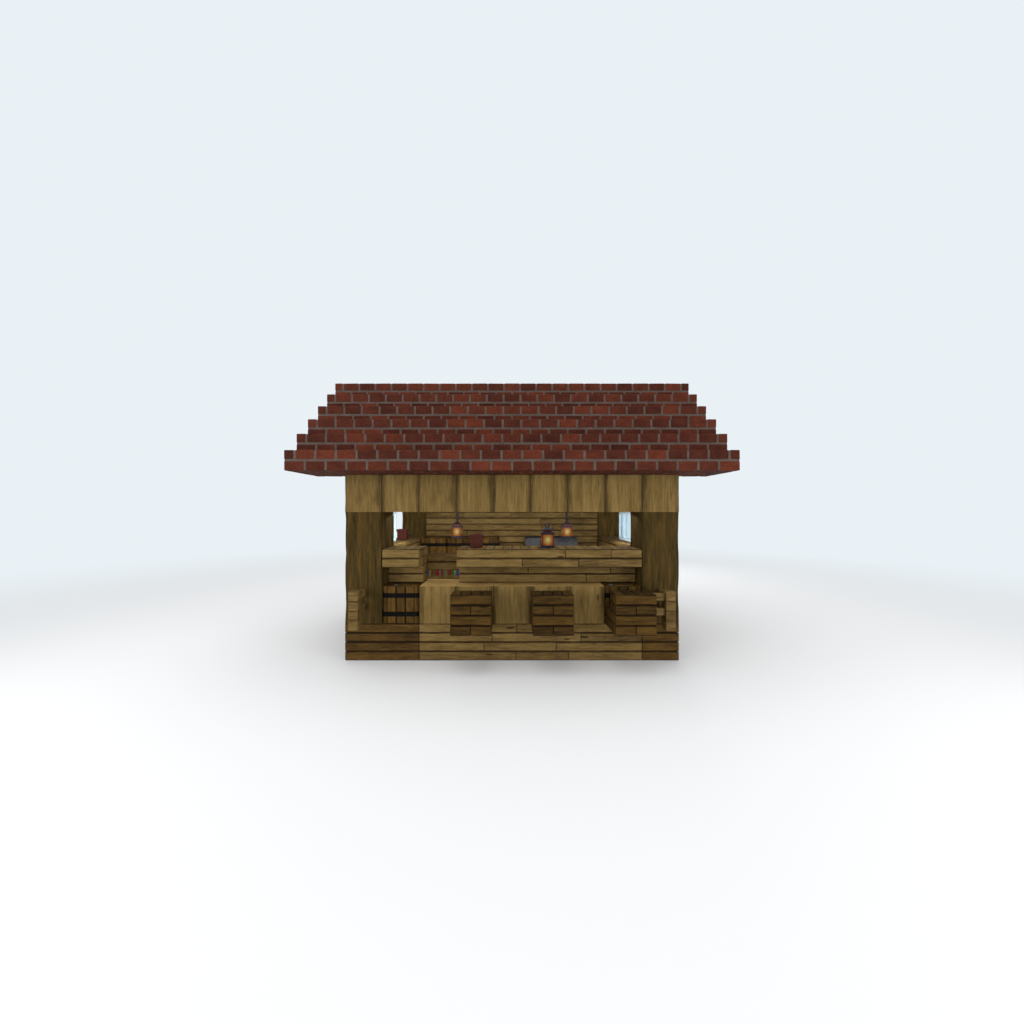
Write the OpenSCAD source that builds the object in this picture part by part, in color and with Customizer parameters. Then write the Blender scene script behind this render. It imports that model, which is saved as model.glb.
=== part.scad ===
// Wooden market stall: timber plinth, posts and beams under a stepped brick roof, with a front
// counter, seats, railings, casks and lanterns. Millimetres, +Z up, the front looks along -Y.
// The origin is on the ground under the middle of the roof.

/* [Plan] */
// Width of the body over the corner posts
body_w = 5400; // [4800:100:6000]
// Depth of the body over the corner posts
body_d = 3600; // [3400:100:4800]
// Side of a corner post
post_side = 600; // [500:25:650]
// Bevel along the upright edges of a corner post
post_bevel = 18; // [5:1:30]
// Thickness of a board wall
wall_t = 150; // [80:10:200]

/* [Heights] */
// Height of the plinth, from the ground to the floor
plinth_h = 600; // [400:25:800]
// Height of the corner posts over the floor
post_h = 1800; // [1700:50:2400]
// Height of the beams on the posts
beam_h = 600; // [400:25:700]

/* [Floor] */
// Thickness of the floor boards
deck_t = 60; // [40:5:90]
// Number of bearers under the floor
bearer_n = 3; // [2:1:5]
// Thickness of a bearer
bearer_w = 150; // [100:10:200]

/* [Counter] */
// Depth of the counter, front to back
counter_d = 600; // [500:25:650]
// Height of the logs and casks that carry the counter
base_h = 600; // [500:25:700]
// Height of the narrow lower part of the counter
riser_h = 300; // [150:25:350]
// Height of the wide upper part of the counter
top_h = 300; // [150:25:350]
// How far the upper part reaches out past the lower part
top_reach = 300; // [150:25:400]
// Number of upright logs between the two casks
log_n = 5; // [4:1:7]
// Gap between two upright logs
log_gap = 4; // [2:1:10]
// Bevel along the edges of an upright log
log_bevel = 18; // [5:1:30]

/* [Sign board] */
// Thickness of the sign board in the gap of the counter
sign_t = 50; // [20:5:60]
// Height of the sign board
sign_h = 300; // [200:10:400]
// Height of its lower edge over the logs
sign_z = 170; // [100:10:250]
// How far it lies inside the back edge of the counter
sign_inset = 12; // [5:1:40]

/* [Casks] */
// Side of a square cask
cask_side = 600; // [500:25:620]
// Room left round a cask
cask_gap = 4; // [2:1:10]
// Bevel along the upright edges of a cask
cask_bevel = 30; // [10:1:50]
// Depth of the head inside the staves
cask_head_depth = 22; // [10:1:40]
// Thickness of the staves at the rim
stave_t = 38; // [25:1:50]
// Height of an iron band
band_h = 75; // [40:5:90]
// Thickness of an iron band
band_t = 6; // [3:1:8]
// Room between a band and the staves
band_gap = 0.3; // [0.2:0.1:0.6]
// Distance from the rim to the upper band
band_top = 112; // [60:4:120]
// Distance between the two bands
band_space = 225; // [150:5:260]

/* [Seats] */
// Number of seats
seat_n = 3; // [1:1:3]
// Distance from one seat to the next
seat_pitch = 1200; // [900:50:1200]
// Distance of the last seat from the right corner post
seat_room = 0; // [0:25:100]
// Width of a seat
seat_w = 600; // [450:25:600]
// Depth of a seat with its back
seat_d = 600; // [450:25:600]
// Height of the seat
seat_h = 300; // [200:25:400]
// Height of the back
seat_back_h = 600; // [450:25:700]
// Thickness of the back
seat_back_t = 300; // [150:25:350]

/* [Railings] */
// Side of a railing post
rail_post_side = 150; // [100:10:200]
// Height of a railing post
rail_post_h = 600; // [500:25:700]
// Distance from the corner post to the middle of the railing post
rail_reach = 300; // [200:25:350]
// Thickness of a rail
rail_t = 75; // [40:5:90]
// Height of a rail
rail_h = 112; // [80:4:128]
// Lower edge of the lower rail over the floor
rail_low = 225; // [150:5:250]
// Lower edge of the upper rail over the floor
rail_high = 450; // [400:5:480]

/* [Side walls] */
// Height of the side walls over the floor
sill_h = 1200; // [900:50:1250]
// Thickness of the sill board
sill_t = 75; // [40:5:90]
// Thickness of the inner lining
lining_t = 100; // [50:10:150]
// Length of the glazed panel on the left sill
glazed_left = 940; // [800:20:1500]
// Length of the glazed panel on the right sill
glazed_right = 1540; // [1400:20:1900]
// Distance of the bar in the right panel from its front end
glazed_bar = 1200; // [900:50:1300]
// Width of a bar of the glazed panels, seen from the side
glazing_bar_w = 38; // [25:1:60]
// Thickness of a frame of the glazed panels
glazing_frame_t = 75; // [40:5:90]
// Thickness of the glass
glass_t = 12; // [6:1:20]
// Room between the glass and its frame
glass_gap = 0.3; // [0.2:0.1:1]

/* [Roof] */
// How far the roof reaches out past the body at the front and back
eave = 600; // [300:25:700]
// How far the roof reaches out past the body at the ends
verge = 600; // [300:25:700]
// Height of one brick step
step_h = 300; // [200:25:350]
// Depth of one brick step
step_d = 300; // [225:25:300]
// How far a row runs in under the next row
row_lap = 300; // [200:25:350]
// Thickness of the gable walls
gable_t = 300; // [150:25:400]
// Thickness of the ceiling
ceiling_t = 100; // [50:10:150]
// Depth of the grooves between the upright sections of the beams
groove = 18; // [5:1:30]
// Number of upright sections in the front and back beams
beam_section_n = 9; // [6:1:12]
// Number of upright sections in the side beams
side_section_n = 4; // [2:1:6]

/* [Lanterns] */
// Side of a lantern's base
lantern_side = 225; // [180:5:260]
// Height of a lantern's body
lantern_h = 262; // [220:2:300]
// Thickness of the base plate and of the top plate
lantern_plate_t = 34; // [20:2:40]
// Bevel at the corners of the plates
lantern_bevel = 12; // [4:1:20]
// Side of a corner bar
lantern_bar = 24; // [14:1:32]
// Room between the glass and the frame of a lantern
lantern_glass_gap = 0.3; // [0.2:0.1:1]
// Side of the neck under the cap
neck_side = 130; // [100:5:150]
// Height of the neck
neck_h = 36; // [20:2:45]
// Side of the cap at its eaves
cap_side = 156; // [130:2:180]
// Side of the cap's top
cap_top_side = 84; // [70:2:110]
// Height of the cap's upright edge
cap_edge_h = 12; // [6:1:16]
// Height of the cap's slope
cap_slope_h = 27; // [15:1:40]
// Outer radius of the ring on the cap
ring_r = 42; // [38:1:46]
// Thickness of the rod of the ring
ring_rod = 20; // [14:1:22]
// Height of a hanging lantern's base over the sill line
hang_z = 37; // [20:1:80]
// Distance of the hanging lanterns from the corner posts
hang_room = 900; // [600:50:1200]
// Distance of the hanging lanterns from the front of the body
hang_y = 2100; // [1700:50:2300]
// Distance of the standing lantern from the right corner post
stand_room = 1500; // [1200:50:1800]

/* [Chains] */
// Thickness of a chain link's rod
link_rod = 20; // [13:1:22]
// Outer width of a chain link
link_w = 76; // [68:1:84]
// Play between two links
link_play = 0.4; // [0.2:0.1:0.8]
// Number of links
link_n = 1; // [1:1:2]
// Diameter of the ceiling rose
rose_d = 110; // [95:5:130]
// Thickness of the ceiling rose
rose_t = 14; // [12:1:18]

/* [Pots] */
// Side of a plant pot
pot_side = 225; // [180:5:260]
// Height of a plant pot
pot_h = 225; // [180:5:260]
// Thickness of a pot's wall
pot_wall = 30; // [20:1:40]
// Height of a pot's rim
pot_rim_h = 50; // [30:2:70]
// How far the pot's body lies inside its rim
pot_rim_step = 14; // [6:1:20]
// Distance of the pot on the counter from the counter's gap
pot_gap_room = 300; // [150:50:450]
// Distance of the pot on the left sill from the glazed panel
pot_pane_room = 560; // [200:20:700]

/* [Back row] */
// Depth of the back row
back_d = 600; // [500:25:650]
// Height of the bookcase
case_h = 600; // [500:25:650]
// Number of bays of the bookcase
case_bays = 3; // [3:1:4]
// Thickness of the bookcase's boards
case_t = 36; // [20:2:45]
// Thickness of the bookcase's middle shelf
shelf_t = 75; // [30:5:90]
// Depth of a bay of the bookcase
bay_d = 260; // [200:10:400]
// Depth of the books
book_d = 200; // [150:10:200]
// Distance of the books from the front of the bookcase
book_set = 30; // [10:5:50]
// Number of books in a bay of a shelf
book_n = 8; // [5:1:10]
// Room between the last book and the side of its bay
book_room = 2; // [1:1:5]
// Number of stone blocks
stone_n = 2; // [1:1:2]
// Width of a stone block
stone_w = 598; // [500:2:600]
// Height of the stone blocks
stone_h = 1200; // [900:50:1300]
// Distance of the stone blocks from the right side wall
stone_room = 600; // [400:50:800]
// Gap between two stone blocks
stone_gap = 4; // [2:1:10]
// Bevel of a stone block's edges
stone_bevel = 12; // [4:1:25]

/* [Hidden] */
FRONT = -body_d / 2;
BACK = body_d / 2;
RIGHT = body_w / 2;
INNER_X = RIGHT - post_side;
INNER_FRONT = FRONT + post_side;
INNER_BACK = BACK - post_side;
FLOOR = plinth_h;
POST_TOP = FLOOR + post_h;
EAVE_Z = POST_TOP + beam_h;
BASE_TOP = FLOOR + base_h;
COUNTER_Z = BASE_TOP + riser_h + top_h;
SILL_Z = FLOOR + sill_h;
POST_X = RIGHT - post_side / 2;
LOG_W = (2 * INNER_X - 2 * cask_side) / log_n;
GAP_LEFT = -INNER_X + cask_side;
GAP_RIGHT = GAP_LEFT + LOG_W;
ROOF_W = body_w + 2 * verge;
ROW_D = 2 * step_d;
ROW_H = 2 * step_h;
BACK_ROW_Y = INNER_BACK - back_d;
CASE_W = case_bays * cask_side;
HANG_BASE = SILL_Z + hang_z;
LANTERN_TOP = lantern_h + neck_h + cap_edge_h + cap_slope_h;
HANG_TOP = HANG_BASE + LANTERN_TOP;
LAST_SEAT_END = INNER_X - seat_room;
DARK_BOARDS = "#4b301c";
DARK_LOG = "#44301c";
OAK_BOARDS = "#72603c";
STRIPPED_LOG = "#846a42";
BRICK = "#612e24";
CASK_WOOD = "#5d4424";
IRON = "#292d3c";
LANTERN_GLASS = "#d28a3c";
LANTERN_BROWN = "#50200f";
GLASS = "#b8ccd6";
TERRACOTTA = "#4b2621";
STONE = "#575757";
BOOK_CLOTH = "#5a4436";
CUT_PAST = 1;
HANG_TURN = 90;
RING_FACETS = 48;
ROD_FACETS = 24;

// A box between its lowest and its highest corner
module box(low, high) {
    translate(low) cube(high - low);
}

// A square prism with bevelled upright edges, standing on its base
module bevelled_post(w, d, h, bevel) {
    linear_extrude(h) polygon([
        [bevel, 0], [w - bevel, 0], [w, bevel], [w, d - bevel],
        [w - bevel, d], [bevel, d], [0, d - bevel], [0, bevel]
    ]);
}

// The plinth, a ring of stacked timbers with the corners dark

module plinth_front(x0, x1) {
    box([x0, FRONT, 0], [x1, INNER_FRONT, plinth_h]);
}

module plinth_front_left() {
    color(DARK_BOARDS) plinth_front(-RIGHT, GAP_LEFT);
}

module plinth_front_middle() {
    color(OAK_BOARDS) plinth_front(GAP_LEFT, INNER_X);
}

module plinth_front_right() {
    color(DARK_BOARDS) plinth_front(INNER_X, RIGHT);
}

module plinth_side(side) {
    x0 = side < 0 ? -RIGHT : INNER_X;
    box([x0, INNER_FRONT, 0], [x0 + post_side, INNER_BACK, plinth_h]);
}

module plinth_left() {
    color(OAK_BOARDS) plinth_side(-1);
}

module plinth_right() {
    color(OAK_BOARDS) plinth_side(1);
}

module plinth_back() {
    color(OAK_BOARDS) box([-RIGHT, INNER_BACK, 0], [RIGHT, BACK, plinth_h]);
}

// The floor, boards on bearers that stand on the ground inside the plinth

module floor_bearers() {
    pitch = 2 * INNER_X / bearer_n;
    color(OAK_BOARDS) for (i = [0 : bearer_n - 1]) {
        x = -INNER_X + (i + 0.5) * pitch;
        box([x - bearer_w / 2, INNER_FRONT, 0], [x + bearer_w / 2, INNER_BACK, FLOOR - deck_t]);
    }
}

module floor_deck() {
    color(OAK_BOARDS) box([-INNER_X, INNER_FRONT, FLOOR - deck_t], [INNER_X, INNER_BACK, FLOOR]);
}

// The corner posts, squared logs

module corner_post(side, y0) {
    x0 = side < 0 ? -RIGHT : INNER_X;
    color(DARK_LOG) translate([x0, y0, FLOOR]) bevelled_post(post_side, post_side, post_h, post_bevel);
}

module post_front_left() {
    corner_post(-1, FRONT);
}

module post_front_right() {
    corner_post(1, FRONT);
}

module post_back_left() {
    corner_post(-1, INNER_BACK);
}

module post_back_right() {
    corner_post(1, INNER_BACK);
}

// What carries the counter: upright logs between two square casks

module counter_logs() {
    color(STRIPPED_LOG) for (i = [0 : log_n - 1]) {
        translate([GAP_LEFT + i * LOG_W + log_gap / 2, FRONT, FLOOR])
            bevelled_post(LOG_W - log_gap, counter_d, base_h, log_bevel);
    }
}

// A square cask: staves round a body whose two heads lie a little inside the rims
module cask(h) {
    side = cask_side - 2 * cask_gap - 2 * band_t - 2 * band_gap;
    inner = side - 2 * stave_t;
    translate([-side / 2, -side / 2, 0]) difference() {
        bevelled_post(side, side, h, cask_bevel);
        for (z = [-CUT_PAST, h - cask_head_depth]) {
            translate([stave_t, stave_t, z])
                bevelled_post(inner, inner, cask_head_depth + CUT_PAST, cask_bevel / 2);
        }
    }
}

// The two iron bands of a cask
module cask_bands(h) {
    outer = cask_side - 2 * cask_gap;
    inner = outer - 2 * band_t;
    for (top = [h - band_top, h - band_top - band_h - band_space]) {
        translate([0, 0, top - band_h]) difference() {
            translate([-outer / 2, -outer / 2, 0]) bevelled_post(outer, outer, band_h, cask_bevel);
            translate([-inner / 2, -inner / 2, -CUT_PAST])
                bevelled_post(inner, inner, band_h + 2 * CUT_PAST, cask_bevel);
        }
    }
}

FRONT_CASK_X = INNER_X - cask_side / 2;
FRONT_CASK_Y = FRONT + cask_side / 2;

module front_casks() {
    color(CASK_WOOD) for (x = [-FRONT_CASK_X, FRONT_CASK_X]) {
        translate([x, FRONT_CASK_Y, FLOOR]) cask(base_h);
    }
}

module front_cask_bands() {
    color(IRON) for (x = [-FRONT_CASK_X, FRONT_CASK_X]) {
        translate([x, FRONT_CASK_Y, FLOOR]) cask_bands(base_h);
    }
}

// The counter, wide above and narrow below, and the sign board in its gap

module counter(x0, x1) {
    translate([x0, FRONT, BASE_TOP]) rotate([90, 0, 90]) linear_extrude(x1 - x0) polygon([
        [top_reach, 0], [counter_d, 0], [counter_d, riser_h + top_h],
        [0, riser_h + top_h], [0, riser_h], [top_reach, riser_h]
    ]);
}

module counter_left() {
    color(OAK_BOARDS) counter(-INNER_X, GAP_LEFT);
}

module counter_right() {
    color(OAK_BOARDS) counter(GAP_RIGHT, INNER_X);
}

module sign_board() {
    y1 = FRONT + counter_d - sign_inset;
    z0 = BASE_TOP + sign_z;
    color(OAK_BOARDS) box([GAP_LEFT, y1 - sign_t, z0], [GAP_RIGHT, y1, z0 + sign_h]);
}

// The side walls: an outer and an inner skin under a wide sill

module side_skin(side, t, outer) {
    out_x = outer ? RIGHT : INNER_X + t;
    x = side * (out_x - t / 2);
    box([x - t / 2, INNER_FRONT, FLOOR], [x + t / 2, INNER_BACK, SILL_Z - sill_t]);
}

module side_wall_left() {
    color(OAK_BOARDS) side_skin(-1, wall_t, true);
}

module side_wall_right() {
    color(OAK_BOARDS) side_skin(1, wall_t, true);
}

module side_linings() {
    color(OAK_BOARDS) for (side = [-1, 1]) side_skin(side, lining_t, false);
}

module sill(side) {
    x0 = side < 0 ? -RIGHT : INNER_X;
    color(OAK_BOARDS) box([x0, INNER_FRONT, SILL_Z - sill_t], [x0 + post_side, INNER_BACK, SILL_Z]);
}

module sill_left() {
    sill(-1);
}

module sill_right() {
    sill(1);
}

// The glazed panels that stand on the sills, behind the front posts

PANE_H = POST_TOP - SILL_Z;

// A frame in the plane of the side wall, from the front post to its free end
module window_frame(length, bars) {
    t = glazing_frame_t;
    w = glazing_bar_w;
    difference() {
        translate([-t / 2, INNER_FRONT, SILL_Z]) cube([t, length, PANE_H]);
        translate([-t, INNER_FRONT + w, SILL_Z + w]) cube([2 * t, length - 2 * w, PANE_H - 2 * w]);
    }
    for (y = bars) {
        translate([-t / 2, INNER_FRONT + y - w / 2, SILL_Z + w]) cube([t, w, PANE_H - 2 * w]);
    }
}

// One sheet of glass from y0 to y1 along the panel
module window_sheet(y0, y1) {
    g = glass_gap;
    w = glazing_bar_w;
    box([-glass_t / 2, INNER_FRONT + y0 + g, SILL_Z + w + g],
        [glass_t / 2, INNER_FRONT + y1 - g, POST_TOP - w - g]);
}

module window_frame_left() {
    color(GLASS) translate([-POST_X, 0, 0]) window_frame(glazed_left, []);
}

module window_frame_right() {
    color(GLASS) translate([POST_X, 0, 0]) window_frame(glazed_right, [glazed_bar]);
}

module window_glass() {
    w = glazing_bar_w;
    color(GLASS) {
        translate([-POST_X, 0, 0]) window_sheet(w, glazed_left - w);
        translate([POST_X, 0, 0]) window_sheet(w, glazed_bar - w / 2);
        translate([POST_X, 0, 0]) window_sheet(glazed_bar + w / 2, glazed_right - w);
    }
}

// The back wall

module back_wall() {
    color(OAK_BOARDS) box([-INNER_X, INNER_BACK, FLOOR], [INNER_X, INNER_BACK + wall_t, POST_TOP]);
}

// The beams, which show the upright log sections that they are made of

// A beam along X with its outer face at y = 0 and a V groove there between two sections
module grooved_beam(length, sections) {
    pitch = length / sections;
    linear_extrude(beam_h) difference() {
        square([length, post_side]);
        for (i = [1 : sections - 1]) {
            translate([i * pitch, 0]) polygon([[-groove, -groove], [groove, -groove], [0, groove]]);
        }
    }
}

module beam_front() {
    color(STRIPPED_LOG) translate([-RIGHT, FRONT, POST_TOP]) grooved_beam(body_w, beam_section_n);
}

module beam_back() {
    color(STRIPPED_LOG) translate([RIGHT, BACK, POST_TOP]) rotate(180)
        grooved_beam(body_w, beam_section_n);
}

module beam_right() {
    color(STRIPPED_LOG) translate([RIGHT, INNER_FRONT, POST_TOP]) rotate(90)
        grooved_beam(INNER_BACK - INNER_FRONT, side_section_n);
}

module beam_left() {
    mirror([1, 0, 0]) beam_right();
}

module ceiling() {
    color(OAK_BOARDS)
        box([-INNER_X, INNER_FRONT, POST_TOP], [INNER_X, INNER_BACK, POST_TOP + ceiling_t]);
}

// The roof: double brick steps, each row bearing on the one below and on the gables

ROOF_FRONT = FRONT - eave;
LAST_ROW = 2;

// One row at the front, with its back edge at the given place
module roof_row(i, y_back) {
    y0 = ROOF_FRONT + i * ROW_D;
    translate([-ROOF_W / 2, 0, EAVE_Z + i * ROW_H]) rotate([90, 0, 90]) linear_extrude(ROOF_W) polygon([
        [y0, 0], [y_back, 0], [y_back, ROW_H], [y0 + step_d, ROW_H], [y0 + step_d, step_h], [y0, step_h]
    ]);
}

module roof_front_row(i) {
    y_back = i < LAST_ROW ? ROOF_FRONT + (i + 1) * ROW_D + row_lap : 0;
    color(BRICK) roof_row(i, y_back);
}

module roof_back_row(i) {
    mirror([0, 1, 0]) roof_front_row(i);
}

module roof_front_row_1() {
    roof_front_row(0);
}

module roof_front_row_2() {
    roof_front_row(1);
}

module roof_front_row_3() {
    roof_front_row(LAST_ROW);
}

module roof_back_row_1() {
    roof_back_row(0);
}

module roof_back_row_2() {
    roof_back_row(1);
}

module roof_back_row_3() {
    roof_back_row(LAST_ROW);
}

// A gable wall fills the stepped space between the side beam and the rows
module gable(side) {
    x0 = side < 0 ? -RIGHT : RIGHT - gable_t;
    y1 = ROOF_FRONT + ROW_D + row_lap;
    y2 = ROOF_FRONT + 2 * ROW_D + row_lap;
    color(OAK_BOARDS) translate([x0, 0, EAVE_Z]) rotate([90, 0, 90]) linear_extrude(gable_t) polygon([
        [y1, 0], [-y1, 0], [-y1, ROW_H], [-y2, ROW_H],
        [-y2, 2 * ROW_H], [y2, 2 * ROW_H], [y2, ROW_H], [y1, ROW_H]
    ]);
}

module gable_left() {
    gable(-1);
}

module gable_right() {
    gable(1);
}

// The seats, each with a thick back, fixed to the front of the counter

module seats() {
    color(DARK_BOARDS) for (i = [0 : seat_n - 1]) {
        x0 = LAST_SEAT_END - seat_w - i * seat_pitch;
        translate([x0, FRONT, FLOOR]) rotate([90, 0, 90]) linear_extrude(seat_w) polygon([
            [-seat_d, 0], [0, 0], [0, seat_h],
            [seat_back_t - seat_d, seat_h], [seat_back_t - seat_d, seat_back_h], [-seat_d, seat_back_h]
        ]);
    }
}

// The low railings, each a post with rails back to the corner post

module railing(x) {
    half = rail_post_side / 2;
    y = FRONT - rail_reach;
    box([x - half, y - half, FLOOR], [x + half, y + half, FLOOR + rail_post_h]);
    for (z = [rail_low, rail_high]) {
        box([x - rail_t / 2, y + half, FLOOR + z], [x + rail_t / 2, FRONT, FLOOR + z + rail_h]);
    }
}

module railing_left() {
    color(OAK_BOARDS) railing(-POST_X);
}

// The right railing has rails to the last seat as well
module railing_right() {
    half = rail_post_side / 2;
    y = FRONT - rail_reach;
    color(OAK_BOARDS) {
        railing(POST_X);
        for (z = [rail_low, rail_high]) {
            box([LAST_SEAT_END, y - rail_t / 2, FLOOR + z],
                [POST_X - half, y + rail_t / 2, FLOOR + z + rail_h]);
        }
    }
}

// The lanterns: two iron plates with corner bars between them, a neck, a cap and a ring

// A ring of round rod, standing upright on the origin
module ring(r, rod) {
    translate([0, 0, r]) rotate([90, 0, 0]) rotate_extrude($fn = RING_FACETS)
        translate([r - rod / 2, 0]) circle(d = rod, $fn = ROD_FACETS);
}

// A square plate with bevelled corners, centred on the Z axis
module corner_plate(side, h, bevel) {
    translate([-side / 2, -side / 2, 0]) bevelled_post(side, side, h, bevel);
}

module lantern() {
    bar_at = lantern_side / 2 - lantern_bar / 2 - lantern_bevel / 2;
    color(IRON) {
        corner_plate(lantern_side, lantern_plate_t, lantern_bevel);
        translate([0, 0, lantern_h - lantern_plate_t])
            corner_plate(lantern_side, lantern_plate_t, lantern_bevel);
    }
    color(LANTERN_BROWN) {
        for (x = [-bar_at, bar_at], y = [-bar_at, bar_at]) {
            translate([x, y, lantern_h / 2])
                cube([lantern_bar, lantern_bar, lantern_h - 2 * lantern_plate_t], center = true);
        }
        translate([0, 0, lantern_h]) corner_plate(neck_side, neck_h, lantern_bevel);
    }
    color(IRON) translate([0, 0, lantern_h + neck_h]) {
        translate([-cap_side / 2, -cap_side / 2, 0]) cube([cap_side, cap_side, cap_edge_h]);
        translate([0, 0, cap_edge_h]) linear_extrude(cap_slope_h, scale = cap_top_side / cap_side)
            square(cap_side, center = true);
        translate([0, 0, cap_edge_h + cap_slope_h - ring_rod / 2]) ring(ring_r, ring_rod);
    }
}

// The glass fills the space between the bars and stays clear of them
module lantern_glass() {
    side = lantern_side - 2 * lantern_bevel;
    corner = lantern_bar - lantern_bevel / 2 + lantern_glass_gap;
    z0 = lantern_plate_t + lantern_glass_gap;
    translate([0, 0, z0]) linear_extrude(lantern_h - 2 * z0) difference() {
        square(side, center = true);
        for (x = [-1, 1], y = [-1, 1]) {
            translate([x * side / 2, y * side / 2]) square(2 * corner, center = true);
        }
    }
}

HANG_POINTS = [for (side = [-1, 1]) [side * (INNER_X - hang_room), FRONT + hang_y, HANG_BASE]];
STAND_POINT = [INNER_X - stand_room, FRONT + counter_d / 2, COUNTER_Z];

module lantern_standing() {
    translate(STAND_POINT) lantern();
}

module lantern_left() {
    translate(HANG_POINTS[0]) rotate(HANG_TURN) lantern();
}

module lantern_right() {
    translate(HANG_POINTS[1]) rotate(HANG_TURN) lantern();
}

module lantern_glasses() {
    color(LANTERN_GLASS) for (point = concat([STAND_POINT], HANG_POINTS)) {
        translate(point) lantern_glass();
    }
}

// The chains, from the rings of the hanging lanterns up to a rose under the ceiling

// An upright oval link with its lower inner crown at the origin
module link(inner_length) {
    r = (link_w - link_rod) / 2;
    straight = inner_length - 2 * r + link_rod;
    translate([0, 0, -link_rod / 2]) rotate([90, 0, 0]) {
        translate([0, r, 0]) rotate([0, 0, 180]) rotate_extrude(angle = 180, $fn = RING_FACETS)
            translate([r, 0]) circle(d = link_rod, $fn = ROD_FACETS);
        translate([0, r + straight, 0]) rotate_extrude(angle = 180, $fn = RING_FACETS)
            translate([r, 0]) circle(d = link_rod, $fn = ROD_FACETS);
        for (x = [-r, r]) {
            translate([x, r, 0]) rotate([-90, 0, 0]) cylinder(d = link_rod, h = straight, $fn = ROD_FACETS);
        }
    }
}

// Each chain hangs from an eye under the rose, each link lies a little clear of the next, and the
// hanging lanterns are turned so that their chains' first links face the counter
module lantern_chains() {
    crown = HANG_TOP - ring_rod / 2 + 2 * ring_r - ring_rod;
    eye_base = POST_TOP - rose_t - 2 * ring_r + ring_rod / 2;
    rise = (eye_base + ring_rod - crown) / link_n;
    color(IRON) for (point = HANG_POINTS) {
        translate([point[0], point[1], 0]) rotate(HANG_TURN) {
            for (i = [0 : link_n - 1]) {
                translate([0, 0, crown + i * rise - link_play]) rotate([0, 0, i % 2 == 0 ? 90 : 0])
                    link(rise + (i + 1 == link_n ? link_play + link_play : link_play));
            }
            translate([0, 0, eye_base]) rotate([0, 0, link_n % 2 == 0 ? 90 : 0]) ring(ring_r, ring_rod);
            translate([0, 0, POST_TOP - rose_t]) cylinder(d = rose_d, h = rose_t, $fn = RING_FACETS);
        }
    }
}

// The plant pots: square, hollow, with a rim

module pot() {
    body = pot_side - 2 * pot_rim_step;
    hollow = body - 2 * pot_wall;
    color(TERRACOTTA) difference() {
        union() {
            translate([-body / 2, -body / 2, 0]) cube([body, body, pot_h]);
            translate([-pot_side / 2, -pot_side / 2, pot_h - pot_rim_h])
                cube([pot_side, pot_side, pot_rim_h]);
        }
        translate([-hollow / 2, -hollow / 2, pot_wall]) cube([hollow, hollow, pot_h]);
    }
}

module pot_counter() {
    translate([GAP_RIGHT + pot_gap_room, FRONT + counter_d / 2, COUNTER_Z]) pot();
}

module pot_sill() {
    translate([-POST_X, INNER_FRONT + glazed_left + pot_pane_room, SILL_Z]) pot();
}

// The back row: a bookcase with casks on it, and stone blocks

BAY_W = CASE_W / case_bays - 2 * case_t;
BAY_H = (case_h - 2 * case_t - shelf_t) / 2;

// Calls its children at the lower left front corner of each bay
module in_bays() {
    for (i = [0 : case_bays - 1], j = [0, 1]) {
        translate([
            -INNER_X + i * CASE_W / case_bays + case_t,
            BACK_ROW_Y,
            FLOOR + case_t + j * (BAY_H + shelf_t)
        ]) children();
    }
}

module bookcase() {
    color(OAK_BOARDS) difference() {
        translate([-INNER_X, BACK_ROW_Y, FLOOR]) cube([CASE_W, back_d, case_h]);
        in_bays() translate([0, -CUT_PAST, 0]) cube([BAY_W, bay_d + CUT_PAST, BAY_H]);
    }
}

// The height of a book: the tallest fills this share of its bay, and the others are one to three steps lower
TALLEST_BOOK = 0.92;
BOOK_STEP = 0.04;
function book_share(i) = TALLEST_BOOK - BOOK_STEP * ((i * 3) % 4);

// One closed row of books a bay
module books() {
    pitch = (BAY_W - 2 * book_room) / book_n;
    color(BOOK_CLOTH) in_bays() translate([book_room, book_set, 0]) {
        for (i = [0 : book_n - 1]) {
            translate([i * pitch, 0, 0]) cube([pitch, book_d, BAY_H * book_share(i)]);
        }
    }
}

BACK_CASK_Y = INNER_BACK - cask_side / 2;

module back_casks() {
    color(CASK_WOOD) for (i = [0 : case_bays - 1]) {
        translate([-INNER_X + (i + 0.5) * cask_side, BACK_CASK_Y, FLOOR + case_h]) cask(cask_side);
    }
}

module back_cask_bands() {
    color(IRON) for (i = [0 : case_bays - 1]) {
        translate([-INNER_X + (i + 0.5) * cask_side, BACK_CASK_Y, FLOOR + case_h]) cask_bands(cask_side);
    }
}

module stone_blocks() {
    color(STONE) for (i = [0 : stone_n - 1]) {
        translate([INNER_X - stone_room - stone_w - i * (stone_w + stone_gap), BACK_ROW_Y, FLOOR])
            bevelled_post(stone_w, back_d, stone_h, stone_bevel);
    }
}

plinth_front_left();
plinth_front_middle();
plinth_front_right();
plinth_left();
plinth_right();
plinth_back();
floor_bearers();
floor_deck();
post_front_left();
post_front_right();
post_back_left();
post_back_right();
counter_logs();
front_casks();
front_cask_bands();
counter_left();
counter_right();
sign_board();
side_wall_left();
side_wall_right();
side_linings();
sill_left();
sill_right();
window_frame_left();
window_frame_right();
window_glass();
back_wall();
beam_front();
beam_back();
beam_left();
beam_right();
ceiling();
gable_left();
gable_right();
roof_front_row_1();
roof_front_row_2();
roof_front_row_3();
roof_back_row_1();
roof_back_row_2();
roof_back_row_3();
seats();
railing_left();
railing_right();
lantern_standing();
lantern_left();
lantern_right();
lantern_glasses();
lantern_chains();
pot_counter();
pot_sill();
bookcase();
books();
back_casks();
back_cask_bands();
stone_blocks();
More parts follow.
